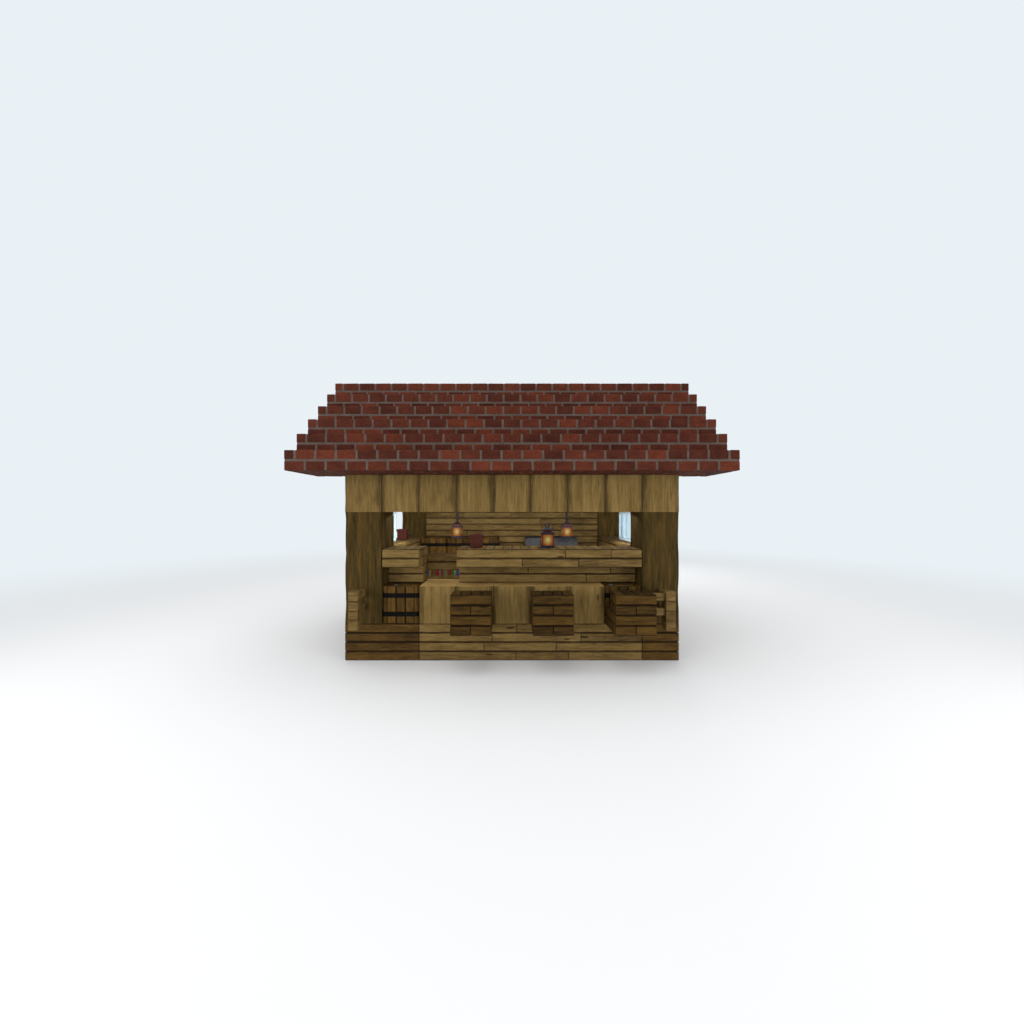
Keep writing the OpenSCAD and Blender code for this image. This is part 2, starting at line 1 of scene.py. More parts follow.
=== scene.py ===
"""The looks of the wooden market stall: boards, logs, bricks, casks, lanterns, glass, pots and books.

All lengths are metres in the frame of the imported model: X along the counter, Y to the back, Z up.
Each piece is built inside the box of the node that it stands for. The bars and necks of the lanterns
stand for none, and lie inside the box of their lantern."""

import math
import random

import bpy
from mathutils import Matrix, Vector, noise


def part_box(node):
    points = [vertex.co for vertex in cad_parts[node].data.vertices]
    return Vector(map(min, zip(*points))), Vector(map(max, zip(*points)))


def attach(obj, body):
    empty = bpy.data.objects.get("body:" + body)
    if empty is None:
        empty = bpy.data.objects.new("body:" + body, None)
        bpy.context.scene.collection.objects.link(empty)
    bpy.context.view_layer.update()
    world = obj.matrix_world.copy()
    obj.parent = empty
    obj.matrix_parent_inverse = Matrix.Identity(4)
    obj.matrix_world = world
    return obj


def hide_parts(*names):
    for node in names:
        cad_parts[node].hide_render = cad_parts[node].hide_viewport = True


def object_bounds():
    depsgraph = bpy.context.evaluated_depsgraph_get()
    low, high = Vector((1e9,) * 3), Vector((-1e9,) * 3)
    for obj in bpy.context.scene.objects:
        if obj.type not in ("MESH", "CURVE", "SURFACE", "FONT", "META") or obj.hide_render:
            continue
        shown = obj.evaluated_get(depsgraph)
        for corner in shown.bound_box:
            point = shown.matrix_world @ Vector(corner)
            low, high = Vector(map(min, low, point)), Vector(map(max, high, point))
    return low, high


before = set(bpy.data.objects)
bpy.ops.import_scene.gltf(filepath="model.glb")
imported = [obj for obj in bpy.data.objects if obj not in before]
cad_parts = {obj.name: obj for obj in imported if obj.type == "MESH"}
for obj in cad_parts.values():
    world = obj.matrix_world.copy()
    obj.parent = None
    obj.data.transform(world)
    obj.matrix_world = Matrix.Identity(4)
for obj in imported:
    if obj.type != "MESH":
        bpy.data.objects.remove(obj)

CAD_LOW, CAD_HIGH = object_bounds()
X, Y, Z = Vector((1, 0, 0)), Vector((0, 1, 0)), Vector((0, 0, 1))

# Colours, in 0 to 255, each list from the dark end of its material to the light one

OAK = (48, 35, 15), (88, 68, 34), (108, 87, 47), (126, 103, 57)
STRIPPED = (64, 49, 22), (98, 78, 39), (119, 96, 53), (138, 113, 64)
# The cut ends have their own pale colour, raised further as painted light on the tops of the logs.
LOG_END_WITH_TOP_LIGHT = (130, 104, 59), (163, 132, 78), (190, 158, 100)
DARK = (25, 15, 4), (49, 34, 10), (69, 49, 16), (86, 62, 24)
# A lighter copy of the dark boards for the plinth: painted light where less light reaches near the ground.
PLINTH_DARK_WITH_PAINTED_LIGHT = (34, 22, 8), (62, 44, 17), (84, 61, 26), (104, 77, 37)
BARK = (27, 22, 5), (59, 46, 15), (93, 65, 27)
BRICK = (47, 18, 9), (69, 29, 16), (91, 40, 22)
MORTAR = (62, 52, 47), (77, 66, 60), (94, 82, 75)
STAVE = (26, 18, 7), (58, 41, 14), (80, 57, 20), (99, 72, 29)
HEAD = (56, 40, 17), (100, 75, 38), (122, 95, 52), (142, 113, 64)
# The cores behind boards and staves are coloured dark as painted shade, since they show only through the
# seams.
CORE_SHADE = (40, 29, 15), (50, 37, 20), (58, 44, 25)
CLAY = (50, 23, 15), (65, 30, 21), (83, 41, 30)
STONE = (39, 39, 40), (54, 54, 55), (71, 71, 72)
IRON = (12, 15, 26), (20, 24, 40), (34, 39, 58)
BLACK_IRON = (5, 5, 4), (11, 10, 8), (21, 19, 17)
BUNG = (60, 66, 76), (84, 90, 100), (110, 116, 124)
LANTERN_BROWN = (58, 24, 12), (84, 36, 17), (112, 54, 26)
PANE_FRAME = (150, 170, 182), (178, 196, 206), (200, 214, 222)
WINDOW_CLEAR, WINDOW_GLOSS = (240, 248, 251), (226, 238, 244)

# The lantern glass from its glowing heart outwards, and the cloths of the books with their paper last

GLOW = (204, 202, 160), (198, 186, 100), (184, 138, 62), (158, 90, 40), (112, 52, 15)
GLOW_STOPS = 0.06, 0.18, 0.4, 0.66, 1.0
GLOW_TINT = (0.12, 0.12, 0.12, 1.0)
BOOK_CLOTHS = ((140, 18, 14), (30, 78, 140), (40, 96, 30), (122, 116, 22), (14, 118, 104), (104, 44, 20),
               (208, 196, 158))

# The studio, as linear values

SURROUND = (0.82, 0.88, 0.92, 1.0)
STUDIO_FLOOR = (0.72, 0.73, 0.74, 1.0)
WHITE = (1.0, 1.0, 1.0, 1.0)


def srgb(colour):
    """The linear values that the shaders take."""
    shares = [level / 255 for level in colour]
    linear = [s / 12.92 if s <= 0.04045 else ((s + 0.055) / 1.055) ** 2.4 for s in shares]
    return (*linear, 1.0)


# Materials

class Graph:
    """The nodes of one material or of the world."""

    def __init__(self, owner):
        owner.use_nodes = True
        self.tree = owner.node_tree
        self.tree.nodes.clear()

    def plug(self, socket, value):
        """Links a socket to another node's output, or sets its value."""
        if isinstance(value, bpy.types.NodeSocket):
            self.tree.links.new(value, socket)
        else:
            socket.default_value = value

    def node(self, kind, **values):
        """A new node. A name that starts in lower case is a setting, and comes first; others are sockets."""
        node = self.tree.nodes.new("ShaderNode" + kind)
        for name, value in values.items():
            if name[0].islower():
                setattr(node, name, value)
            else:
                self.plug(node.inputs[name.replace("_", " ")], value)
        return node

    def math(self, operation, *values):
        node = self.node("Math", operation=operation)
        for socket, value in zip(node.inputs, values):
            self.plug(socket, value)
        return node.outputs[0]

    def add(self, a, b):
        return self.math("ADD", a, b)

    def subtract(self, a, b):
        return self.math("SUBTRACT", a, b)

    def times(self, a, b):
        return self.math("MULTIPLY", a, b)

    def grain(self):
        return self.node("UVMap", uv_map="grain").outputs["UV"]

    def tone(self):
        return self.node("Attribute", attribute_name="tone").outputs["Fac"]

    def length(self, vector):
        return self.node("VectorMath", operation="LENGTH", Vector=vector).outputs["Value"]

    def stretched(self, vector, x, y):
        return self.node("Mapping", Scale=(x, y, 1.0), Vector=vector).outputs["Vector"]

    def noise(self, vector, x, y, detail, roughness=0.55):
        """Noise of x by y waves to the metre."""
        place = self.stretched(vector, x, y)
        node = self.node("TexNoise", Scale=1.0, Detail=detail, Roughness=roughness, Vector=place)
        return node.outputs["Fac"]

    def span(self, value, start, end, low=0.0, high=1.0, kind="LINEAR"):
        """Takes start to end onto low to high, and stays at those beyond."""
        ends = {"From_Min": start, "From_Max": end, "To_Min": low, "To_Max": high}
        return self.node("MapRange", interpolation_type=kind, Value=value, **ends).outputs["Result"]

    def ramp(self, level, colours, stops=None, kind="LINEAR"):
        """A ramp through the colours, at the stops or evenly from 0 to 1."""
        stops = stops or [i / (len(colours) - 1) for i in range(len(colours))]
        pairs = [(stop, srgb(colour)) for stop, colour in zip(stops, colours)]
        node = self.node("ValToRGB", Fac=level)
        node.color_ramp.interpolation = kind
        elements = node.color_ramp.elements
        elements[0].position, elements[0].color = pairs[0]
        elements[1].position, elements[1].color = pairs[-1]
        for stop, colour in pairs[1:-1]:
            elements.new(stop).color = colour
        return node.outputs["Color"]

    def shade(self, colour, by, factor):
        """A colour multiplied by another, or by a level."""
        node = self.node("Mix", data_type="RGBA", blend_type="MULTIPLY", Factor=factor, A=colour, B=by)
        return node.outputs["Result"]

    def bump(self, height, strength, distance):
        return self.node("Bump", Strength=strength, Distance=distance, Height=height).outputs["Normal"]

    def mix(self, share, first, second):
        """A shader between two others."""
        node = self.node("MixShader", Fac=share)
        for socket, shader in zip(node.inputs[1:], (first, second)):
            self.plug(socket, shader.outputs[0])
        return node

    def show(self, shader, target="OutputMaterial"):
        self.node(target, Surface=shader.outputs[0])

    def principled(self, colour, roughness, gloss, **values):
        base = {"Base_Color": colour, "Roughness": roughness, "Specular_IOR_Level": gloss}
        self.show(self.node("BsdfPrincipled", **base, **values))


def new_material(name):
    material = bpy.data.materials.new(name)
    return material, Graph(material)


def surface(name, colours, fibre=(4.0, 34.0), patch=(1.6, 7.0), contrast=1.0, roughness=0.75, bump=0.25,
            bump_depth=0.004, metallic=0.0, speckle=0.0, gloss=0.15, knots=0.0):
    """A solid surface with fibres, soft patches and knots along its grain map, and a tone for each board.

    fibre and patch give the waves to the metre along and across the grain."""
    material, graph = new_material(name)
    grain = graph.grain()
    fibres = graph.noise(grain, *fibre, 5.0, 0.62)
    patches = graph.noise(grain, *patch, 3.0, 0.5)
    pores = graph.noise(grain, fibre[0] * 2.5, fibre[1] * 4.5, 4.0, 0.65)
    mixed = graph.add(graph.times(fibres, 0.45), graph.times(patches, 0.4))
    mixed = graph.add(mixed, graph.times(pores, 0.15))
    mixed = graph.subtract(mixed, graph.span(pores, 0.42, 0.3, 0.0, 0.2))
    if speckle:
        fine = graph.noise(grain, 90.0, 90.0, 2.0)
        mixed = graph.add(mixed, graph.times(graph.subtract(fine, 0.5), speckle))
    if knots:
        cells = graph.node("TexVoronoi", Scale=1.0, Vector=graph.stretched(grain, 1.4, 5.5)).outputs
        chance = graph.node("SeparateColor", Color=cells["Color"]).outputs["Red"]
        spot = graph.span(cells["Distance"], 0.13, 0.03, kind="SMOOTHSTEP")
        knot = graph.times(spot, graph.math("GREATER_THAN", chance, 0.55))
        mixed = graph.subtract(mixed, graph.times(knot, knots))
    centred = graph.subtract(mixed, 0.5)
    spread = graph.add(graph.times(centred, 2.6 * contrast), 0.5)
    colour = graph.ramp(graph.add(spread, graph.tone()), colours)
    rough = graph.add(graph.times(centred, -0.5), roughness)
    normal = graph.bump(mixed, bump, bump_depth)
    graph.principled(colour, rough, gloss, Metallic=metallic, Normal=normal)
    return material


def end_grain(name, colours):
    """The cut end of a log: rings round the middle of its grain map, with short cracks."""
    material, graph = new_material(name)
    grain = graph.grain()
    radius = graph.length(grain)
    warped = graph.add(radius, graph.times(graph.noise(grain, 6.0, 6.0, 3.0), 0.05))
    rings = graph.math("SINE", graph.times(warped, 190.0))
    fine = graph.noise(grain, 50.0, 50.0, 3.0)
    heart = graph.span(radius, 0.0, 0.3, -0.35, 0.1)
    parts = graph.node("SeparateXYZ", Vector=grain).outputs
    angle = graph.math("ARCTAN2", parts["Y"], parts["X"])
    spokes = graph.node("CombineXYZ", X=graph.times(angle, 5.0), Y=graph.times(radius, 1.5))
    rays = graph.noise(spokes.outputs["Vector"], 1.6, 1.6, 3.0)
    cracks = graph.span(rays, 0.4, 0.34, 0.0, -0.5)
    level = graph.add(graph.add(graph.times(rings, 0.2), graph.add(fine, heart)), cracks)
    graph.principled(graph.ramp(level, colours), 0.82, 0.15, Normal=graph.bump(level, 0.3, 0.002))
    return material


def window_glass():
    """Clear glass with a faint, wavy gloss."""
    material, graph = new_material("window glass")
    clear = graph.node("BsdfTransparent", Color=srgb(WINDOW_CLEAR))
    gloss = graph.node("BsdfGlossy", Color=srgb(WINDOW_GLOSS), Roughness=0.04)
    waves = graph.noise(graph.grain(), 3.0, 3.0, 2.0)
    graph.show(graph.mix(graph.add(graph.times(waves, 0.05), 0.02), clear, gloss))
    return material


def lantern_glass():
    """Amber glass that glows from a pale heart outwards; the grain map's origin is a pane's middle."""
    material, graph = new_material("lantern glass")
    grain = graph.grain()
    radius = graph.length(graph.stretched(grain, 1.0, 0.85))
    flicker = graph.subtract(graph.noise(grain, 26.0, 20.0, 2.0), 0.5)
    reach = graph.add(radius, graph.times(flicker, 0.035))
    glow = graph.ramp(graph.times(reach, 8.5), GLOW, GLOW_STOPS)
    tint = graph.shade(glow, GLOW_TINT, 1.0)
    graph.principled(tint, 0.25, 0.12, Emission_Color=glow, Emission_Strength=0.46)
    return material


def book_cloth():
    """Book cloth: the tone picks the cloth's colour and the grain map gives its weave."""
    material, graph = new_material("book cloth")
    stops = [i / len(BOOK_CLOTHS) for i in range(len(BOOK_CLOTHS))]
    cloth = graph.ramp(graph.tone(), BOOK_CLOTHS, stops, "CONSTANT")
    weave = graph.noise(graph.grain(), 160.0, 160.0, 2.0)
    graph.principled(graph.shade(cloth, weave, 0.6), 0.8, 0.2, Normal=graph.bump(weave, 0.3, 0.001))
    return material


SMOOTH = {"bump": 0.2, "bump_depth": 0.001}
FORGED = {"metallic": 0.1, **SMOOTH}
OAK_MAT = surface("oak boards", OAK, knots=0.35)
STRIPPED_MAT = surface("stripped log", STRIPPED, (2.2, 26.0), (0.8, 7.0), bump=0.35, knots=0.25)
LOG_END_WITH_TOP_LIGHT_MAT = end_grain("log end", LOG_END_WITH_TOP_LIGHT)
DARK_MAT = surface("dark boards", DARK, knots=0.3, gloss=0.08)
PLINTH_DARK_WITH_PAINTED_LIGHT_MAT = surface("dark plinth boards with painted light", PLINTH_DARK_WITH_PAINTED_LIGHT, knots=0.3, gloss=0.08)
BARK_MAT = surface("bark", BARK, (3.0, 30.0), (1.2, 12.0), roughness=0.9, bump=0.6, bump_depth=0.008)
BRICK_MAT = surface("brick", BRICK, (22.0, 22.0), (5.0, 5.0), 0.8, 0.88, bump=0.5, speckle=0.5)
MORTAR_MAT = surface("mortar", MORTAR, (40.0, 40.0), (6.0, 6.0), 1.0, 0.95, bump=0.5, speckle=0.6)
STAVE_MAT = surface("cask staves", STAVE, roughness=0.62, gloss=0.08)
HEAD_MAT = surface("cask heads", HEAD, roughness=0.62, gloss=0.08)
CORE_SHADE_MAT = surface("board core", CORE_SHADE, roughness=0.95)
CLAY_MAT = surface("fired clay", CLAY, (16.0, 60.0), (7.0, 7.0), 0.8, 0.85, speckle=0.5)
STONE_MAT = surface("grey stone", STONE, (18.0, 22.0), (5.0, 6.0), 1.0, 0.85, bump=0.5, speckle=0.7)
IRON_MAT = surface("blackened iron", IRON, (30.0, 30.0), (9.0, 9.0), roughness=0.5, gloss=0.2, **FORGED)
HOOP_MAT = surface("hoop iron", BLACK_IRON, (9.0, 40.0), (5.0, 9.0), roughness=0.65, gloss=0.05, **FORGED)
BUNG_MAT = surface("grey bung", BUNG, (30.0, 30.0), (9.0, 9.0), 1.0, 0.5, metallic=0.3, gloss=0.4, **SMOOTH)
BROWN_MAT = surface("lantern brown", LANTERN_BROWN, (20.0, 40.0), roughness=0.6, gloss=0.06, **SMOOTH)
PANE_FRAME_MAT = surface("pane frame", PANE_FRAME, (8.0, 50.0), (1.6, 7.0), 0.6, 0.55, 0.15, 0.001)
GLASS_MAT = window_glass()
LANTERN_GLASS_MAT = lantern_glass()
BOOK_MAT = book_cloth()

# Mesh building

MAP_RANGE = 40.0
# The share of a block's edge tone on its end bevels and corners, so the painted shade at the butt joints of
# boards is softer.
END_EDGE_SHARE = 0.35
END_BEVEL = 0.006
BOX_BEVEL = 0.002
SHARP_ANGLE = math.radians(32)
SUNK = 0.0005
ROD_SIDES, DOME_SIDES = 16, 10
DOME_PROFILE = ((1.0, 0.0), (0.85, 0.6), (0.5, 0.9), (0.15, 1.0))
AROUND = ((X, -Y), (Y, X), (-X, Y), (-Y, -X))  # along each upright face, and out of it


def chamfered_template():
    """Corners and faces of a box with all its edges cut off: 24 points, three at each corner.

    Each face has its ring of points, its axis, and how much of the block's edge tone it takes: painted seam
    shade on boards and timbers, lighter wear on bricks."""
    corners = [(i, j, k) for i in (0, 1) for j in (0, 1) for k in (0, 1)]
    ids = {(c, a): 3 * n + a for n, c in enumerate(corners) for a in range(3)}

    def point(sides, axis):
        return ids[tuple(sides[i] for i in range(3)), axis]

    faces = []
    for axis in range(3):
        b, c = (axis + 1) % 3, (axis + 2) % 3
        for side in (0, 1):
            ring = [point({axis: side, b: i, c: j}, axis) for i, j in ((0, 0), (1, 0), (1, 1), (0, 1))]
            faces.append((ring if side else ring[::-1], axis, 0.0))
        for i in (0, 1):
            for j in (0, 1):
                low, high = ({axis: side, b: i, c: j} for side in (0, 1))
                quad = [point(low, b), point(high, b), point(high, c), point(low, c)]
                share = END_EDGE_SHARE if axis else 1.0
                faces.append((quad if i == j else quad[::-1], b if axis == 0 else max(b, c), share))
    for corner in corners:
        triangle = [ids[corner, axis] for axis in range(3)]
        faces.append((triangle if sum(corner) % 2 else triangle[::-1], 2, END_EDGE_SHARE))
    return corners, faces


CORNERS, BLOCK_FACES = chamfered_template()


def circle(centre, radius, u, v, count=40):
    turn = [2 * math.pi * i / count for i in range(count)]
    return [centre + u * math.cos(t) * radius + v * math.sin(t) * radius for t in turn]


def chamfered(centre, width, corner, z):
    """A ring of eight points: a square with its corners cut off."""
    w, c = width / 2, width / 2 - corner
    spots = ((-c, -w), (c, -w), (w, -c), (w, c), (c, w), (-c, w), (-w, c), (-w, -c))
    return [Vector((centre[0] + x, centre[1] + y, z)) for x, y in spots]


def girths(ring):
    """How far along a closed ring each of its points lies, and the whole way round last."""
    lengths = [0.0]
    for a, b in zip(ring, ring[1:] + ring[:1]):
        lengths.append(lengths[-1] + (b - a).length)
    return lengths


class Build:
    """Gathers the faces of one piece, each with its grain map, tone and material."""

    def __init__(self, seed):
        self.points, self.faces, self.maps, self.tones, self.kinds = [], [], [], [], []
        self.random = random.Random(seed)

    def add(self, points, faces, maps, tones, kinds):
        start = len(self.points)
        self.points.extend(points)
        self.faces.extend([start + i for i in face] for face in faces)
        self.maps.extend(spot for corners in maps for spot in corners)
        self.tones.extend(tones)
        self.kinds.extend(kinds)

    def block(self, origin, u, v, size, bevel=0.006, tone=None, kind=0, wobble=0.0012, spread=0.16, edge=0.0):
        """A bevelled block from its origin corner along u, v and their normal; the grain runs along u."""
        n = u.cross(v)
        rnd = self.random
        shift = [rnd.uniform(0, MAP_RANGE) for _ in range(2)]
        tone = rnd.uniform(-spread, spread) if tone is None else tone
        bevel = min(bevel, 0.45 * min(size))
        bevels = (min(bevel, END_BEVEL), bevel, bevel)
        local = []
        for corner in CORNERS:
            inward = [1 - 2 * side for side in corner]
            base = [inward[i] * rnd.uniform(0, wobble) + corner[i] * size[i] for i in range(3)]
            for axis in range(3):
                local.append([base[i] + (i != axis) * inward[i] * bevels[i] for i in range(3)])
        first = Vector(origin)
        points = [first + u * p[0] + v * p[1] + n * p[2] for p in local]
        maps = []
        for ring, axis, _ in BLOCK_FACES:
            a, b = ((2, 1), (0, 2), (0, 1))[axis]
            maps.append([(local[i][a] + shift[0], local[i][b] + shift[1]) for i in ring])
        tones = [tone + edge * share for _, _, share in BLOCK_FACES]
        self.add(points, [ring for ring, _, _ in BLOCK_FACES], maps, tones, [kind] * len(maps))

    def box(self, low, high, kind=0, tone=0.0):
        """A plain bevelled box between two corners, with the grain along X."""
        size = [high[i] - low[i] for i in range(3)]
        self.block(low, X, Y, size, BOX_BEVEL, tone, kind, 0.0)

    def loft(self, rings, tone=0.0, kind=0, close=False, caps=True):
        """Joins rings of equally many points, each counterclockwise seen from the end that they run to."""
        count = len(rings[0])
        girth = girths(rings[0])
        shift = self.random.uniform(0, MAP_RANGE)
        points = [p for ring in rings for p in ring]
        faces, maps, along = [], [], shift
        for k in range(len(rings) if close else len(rings) - 1):
            m = (k + 1) % len(rings)
            rise = (rings[m][0] - rings[k][0]).length
            for i in range(count):
                j = (i + 1) % count
                faces.append([k * count + i, k * count + j, m * count + j, m * count + i])
                spots = ((0, i), (0, i + 1), (rise, i + 1), (rise, i))
                maps.append([(along + forth, girth[place]) for forth, place in spots])
            along += rise
        if caps and not close:
            last = (len(rings) - 1) * count
            for cap in (list(range(count))[::-1], [last + i for i in range(count)]):
                faces.append(cap)
                maps.append([(points[i].x + shift, points[i].y) for i in cap])
        self.add(points, faces, maps, [tone] * len(faces), [kind] * len(faces))

    def turned(self, centre, u, v, profile, sides, kind=0):
        """A round form; the profile gives each ring's radius and its height along the normal of u and v."""
        n = u.cross(v)
        self.loft([circle(centre + n * rise, radius, u, v, sides) for radius, rise in profile], kind=kind)

    def square(self, centre, corner, profile, close=False, caps=True):
        """An upright square form with chamfered corners; the profile gives each ring's width and height."""
        self.loft([chamfered(centre, w, corner, z) for w, z in profile], close=close, caps=caps)

    def prism(self, centre, width, corner, low, high, bevel):
        """An upright square post with chamfered corners and bevelled ends."""
        rings = []
        for inset, z in ((bevel, low), (0, low + bevel), (0, high - bevel), (bevel, high)):
            rings.append(chamfered(centre, width - 2 * inset, max(corner - 0.6 * inset, 0.001), z))
        self.loft(rings)

    def hoop(self, path, radius, tone):
        """A round rod along a flat closed path of points."""
        middle = sum(path, Vector()) / len(path)
        normal = (path[0] - middle).cross(path[len(path) // 4] - middle).normalized()
        rings = []
        for before, p, after in zip(path[-1:] + path, path, path[1:] + path[:1]):
            along = (after - before).normalized()
            side = along.cross(normal).normalized()
            rings.append(circle(p, radius, side, along.cross(side), ROD_SIDES))
        self.loft(rings, tone, close=True)

    def dome(self, centre, normal, radius, height):
        """A rivet's low round head on a face."""
        side = normal.orthogonal().normalized()
        profile = [(radius * share, height * rise) for share, rise in DOME_PROFILE]
        self.turned(centre, side, normal.cross(side), profile, DOME_SIDES)

    def finish(self, name, materials, slot, *nodes):
        """Makes the piece, which rides on the body and stands for the nodes."""
        mesh = bpy.data.meshes.new(name)
        mesh.from_pydata([tuple(p) for p in self.points], [], self.faces)
        grain = mesh.uv_layers.new(name="grain")
        grain.data.foreach_set("uv", [c for uv in self.maps for c in uv])
        tone = mesh.attributes.new("tone", "FLOAT", "FACE")
        tone.data.foreach_set("value", self.tones)
        for material in materials:
            mesh.materials.append(material)
        mesh.polygons.foreach_set("material_index", self.kinds)
        mesh.polygons.foreach_set("use_smooth", [True] * len(self.faces))
        mesh.set_sharp_from_angle(angle=SHARP_ANGLE)
        mesh.validate()
        mesh.update()
        piece = bpy.data.objects.new(name, mesh)
        bpy.context.scene.collection.objects.link(piece)
        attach(piece, "root")
        if nodes:
            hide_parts(*nodes)


# Boards

BOARD = 0.15
SKIN = 0.032
SEAM = 0.005
END_SEAM = 0.002
GROOVE = 0.014
# The bevels of boards, timbers and staves are darkened by this tone: painted shade in the seams between them.
EDGE_SHADE = -0.45
PLANK = 0.028
PLANK_BEVEL = 0.008
LIP = 0.04
SHORTEST, LONGEST = 0.7, 2.3


def lengths(rnd, total):
    """Where the boards of one row end, from 0 to the row's length."""
    cuts, place = [0.0], rnd.uniform(0.35, 1.0) * LONGEST
    while place < total - SHORTEST * 0.6:
        cuts.append(place)
        place += rnd.uniform(SHORTEST, LONGEST)
    return cuts + [total]


def board_face(build, origin, u, v, length, height, board=BOARD, depth=SKIN, kind=0):
    """Boards along u, one above the other along v, with their outer faces on the plane of u and v."""
    n = u.cross(v)
    rows = max(1, round(height / board))
    step = height / rows
    for row in range(rows):
        cuts = lengths(build.random, length)
        for start, end in zip(cuts, cuts[1:]):
            low = build.random.uniform(0.0, 0.0025)
            corner = Vector(origin) + u * (start + END_SEAM / 2) + v * (row * step + SEAM / 2) - n * depth
            size = (end - start - END_SEAM, step - SEAM, depth - low)
            build.block(corner, u, v, size, GROOVE, kind=kind, edge=EDGE_SHADE)


def board_side(build, side, x, y0, y1, z0, z1):
    """Boards on a face at x that looks along -X or +X."""
    if side < 0:
        board_face(build, (x, y1, z0), -Y, Z, y1 - y0, z1 - z0)
    else:
        board_face(build, (x, y0, z0), Y, Z, y1 - y0, z1 - z0)


def clad_box(name, node, faces, seed, material=OAK_MAT, slot="oak_boards"):
    """Replaces a box-shaped node by a dark core with boards on the named faces, such as "-y+x"."""
    low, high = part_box(node)
    marks = [faces[i:i + 2] for i in range(0, len(faces), 2)]
    core = {"-": list(low), "+": list(high)}
    for sign, axis in marks:
        core[sign]["xyz".index(axis)] += SKIN if sign == "-" else -SKIN
    build = Build(seed)
    build.box(core["-"], core["+"], kind=1)
    size = high - low
    front = low.y + (SKIN if "-y" in marks else 0.0)
    back = high.y - (SKIN if "+y" in marks else 0.0)
    for mark in marks:
        if mark == "-y":
            board_face(build, low, X, Z, size.x, size.z)
        elif mark == "+y":
            board_face(build, (high.x, high.y, low.z), -X, Z, size.x, size.z)
        elif mark == "-x":
            board_side(build, -1, low.x, front, back, low.z, high.z)
        elif mark == "+x":
            board_side(build, 1, high.x, front, back, low.z, high.z)
        elif mark == "-z":
            board_face(build, (low.x, high.y, low.z), X, -Y, size.x, size.y)
        elif mark == "+z":
            board_face(build, (low.x + SKIN, low.y, high.z), X, Y, size.x - 2 * SKIN, back - low.y)
    build.finish(name, [material, CORE_SHADE_MAT], slot, node)


def timber_run(build, start, end, low, size, along=X):
    """Timbers end to end along X or Y; low is the corner of the section and size its two sides."""
    cuts = lengths(build.random, end - start)
    for a, b in zip(cuts, cuts[1:]):
        place = start + a + END_SEAM / 2
        block = (b - a - END_SEAM, size[0] - SEAM, size[1] - SEAM)
        if along == X:
            corner = (place, low[0] + SEAM / 2, low[1] + SEAM / 2)
            build.block(corner, X, Y, block, GROOVE, edge=EDGE_SHADE)
        else:
            corner = (low[0] + size[0] - SEAM / 2, place, low[1] + SEAM / 2)
            build.block(corner, Y, -X, block, GROOVE, edge=EDGE_SHADE)


def stack(build, x0, x1, y0, y1, z0, z1):
    """Courses of timbers along X that fill a box."""
    rows, courses = (max(1, round(reach / BOARD)) for reach in (y1 - y0, z1 - z0))
    dy, dz = (y1 - y0) / rows, (z1 - z0) / courses
    for j in range(rows):
        for k in range(courses):
            timber_run(build, x0, x1, (y0 + j * dy, z0 + k * dz), (dy, dz))


def planked_top(build, x0, x1, y0, y1, z0, z1):
    """A top course of timbers along X, with planks across them behind a lip at the front."""
    timber_run(build, x0, x1, (y0, z0), (LIP, z1 - z0))
    y0 += LIP
    stack(build, x0, x1, y0, y1, z0, z1 - PLANK)
    count = round((x1 - x0) / BOARD)
    width = (x1 - x0) / count
    size = (y1 - y0 - SEAM, width - SEAM, PLANK - SEAM / 2)
    for i in range(count):
        corner = (x0 + (i + 1) * width - SEAM / 2, y0 + SEAM / 2, z1 - PLANK + SEAM / 2)
        build.block(corner, Y, -X, size, PLANK_BEVEL, edge=EDGE_SHADE)


def stacked(name, node, seed):
    """Replaces a box-shaped node by courses of oak timbers along X."""
    low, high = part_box(node)
    build = Build(seed)
    stack(build, low.x, high.x, low.y, high.y, low.z, high.z)
    build.finish(name, [OAK_MAT], "oak_boards", node)


def timbers_back(name, node, seed, count, width):
    """Replaces a box-shaped node by oak timbers along Y, evenly placed from its left side to its right."""
    low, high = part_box(node)
    build = Build(seed)
    pitch = (high.x - low.x - width) / (count - 1)
    for i in range(count):
        timber_run(build, low.y, high.y, (low.x + i * pitch, low.z), (width, high.z - low.z), Y)
    build.finish(name, [OAK_MAT], "oak_boards", node)


# Logs

EDGE_BAND = 0.085
LOG_SEAM = 0.003
LOG_CORNER = 0.013
# Beam logs darken towards their upright corners: painted shade at the joints between the logs.
LOG_JOINT_SHADE = -0.5
TONGUE = 0.03
TONGUE_INSET = Vector((0.013, 0.013, 0.013))
# The tongues are darkened as painted shade in the joints between logs.
TONGUE_SHADE = -0.35
POST_CORNER = 0.024
# The bark darkens towards the post's corners.
POST_EDGE_TONE = -0.15


def outline(width, depth, radius, step):
    """Points and outward normals round a rounded rectangle that is centred on the origin."""
    points = []
    w, d = width / 2 - radius, depth / 2 - radius
    sides = ((w, -d, -90, 2 * d), (w, d, 0, 2 * w), (-w, d, 90, 2 * d), (-w, -d, 180, 2 * w))
    for cx, cy, start, length in sides:
        for i in range(5):
            angle = math.radians(start + i * 90 / 4)
            normal = Vector((math.cos(angle), math.sin(angle), 0))
            points.append((Vector((cx, cy, 0)) + normal * radius, normal))
        along = Vector((-normal.y, normal.x, 0))
        count = max(2, round(length / step))
        for _ in range(count - 1):
            points.append((points[-1][0] + along * (length / count), normal))
    return points


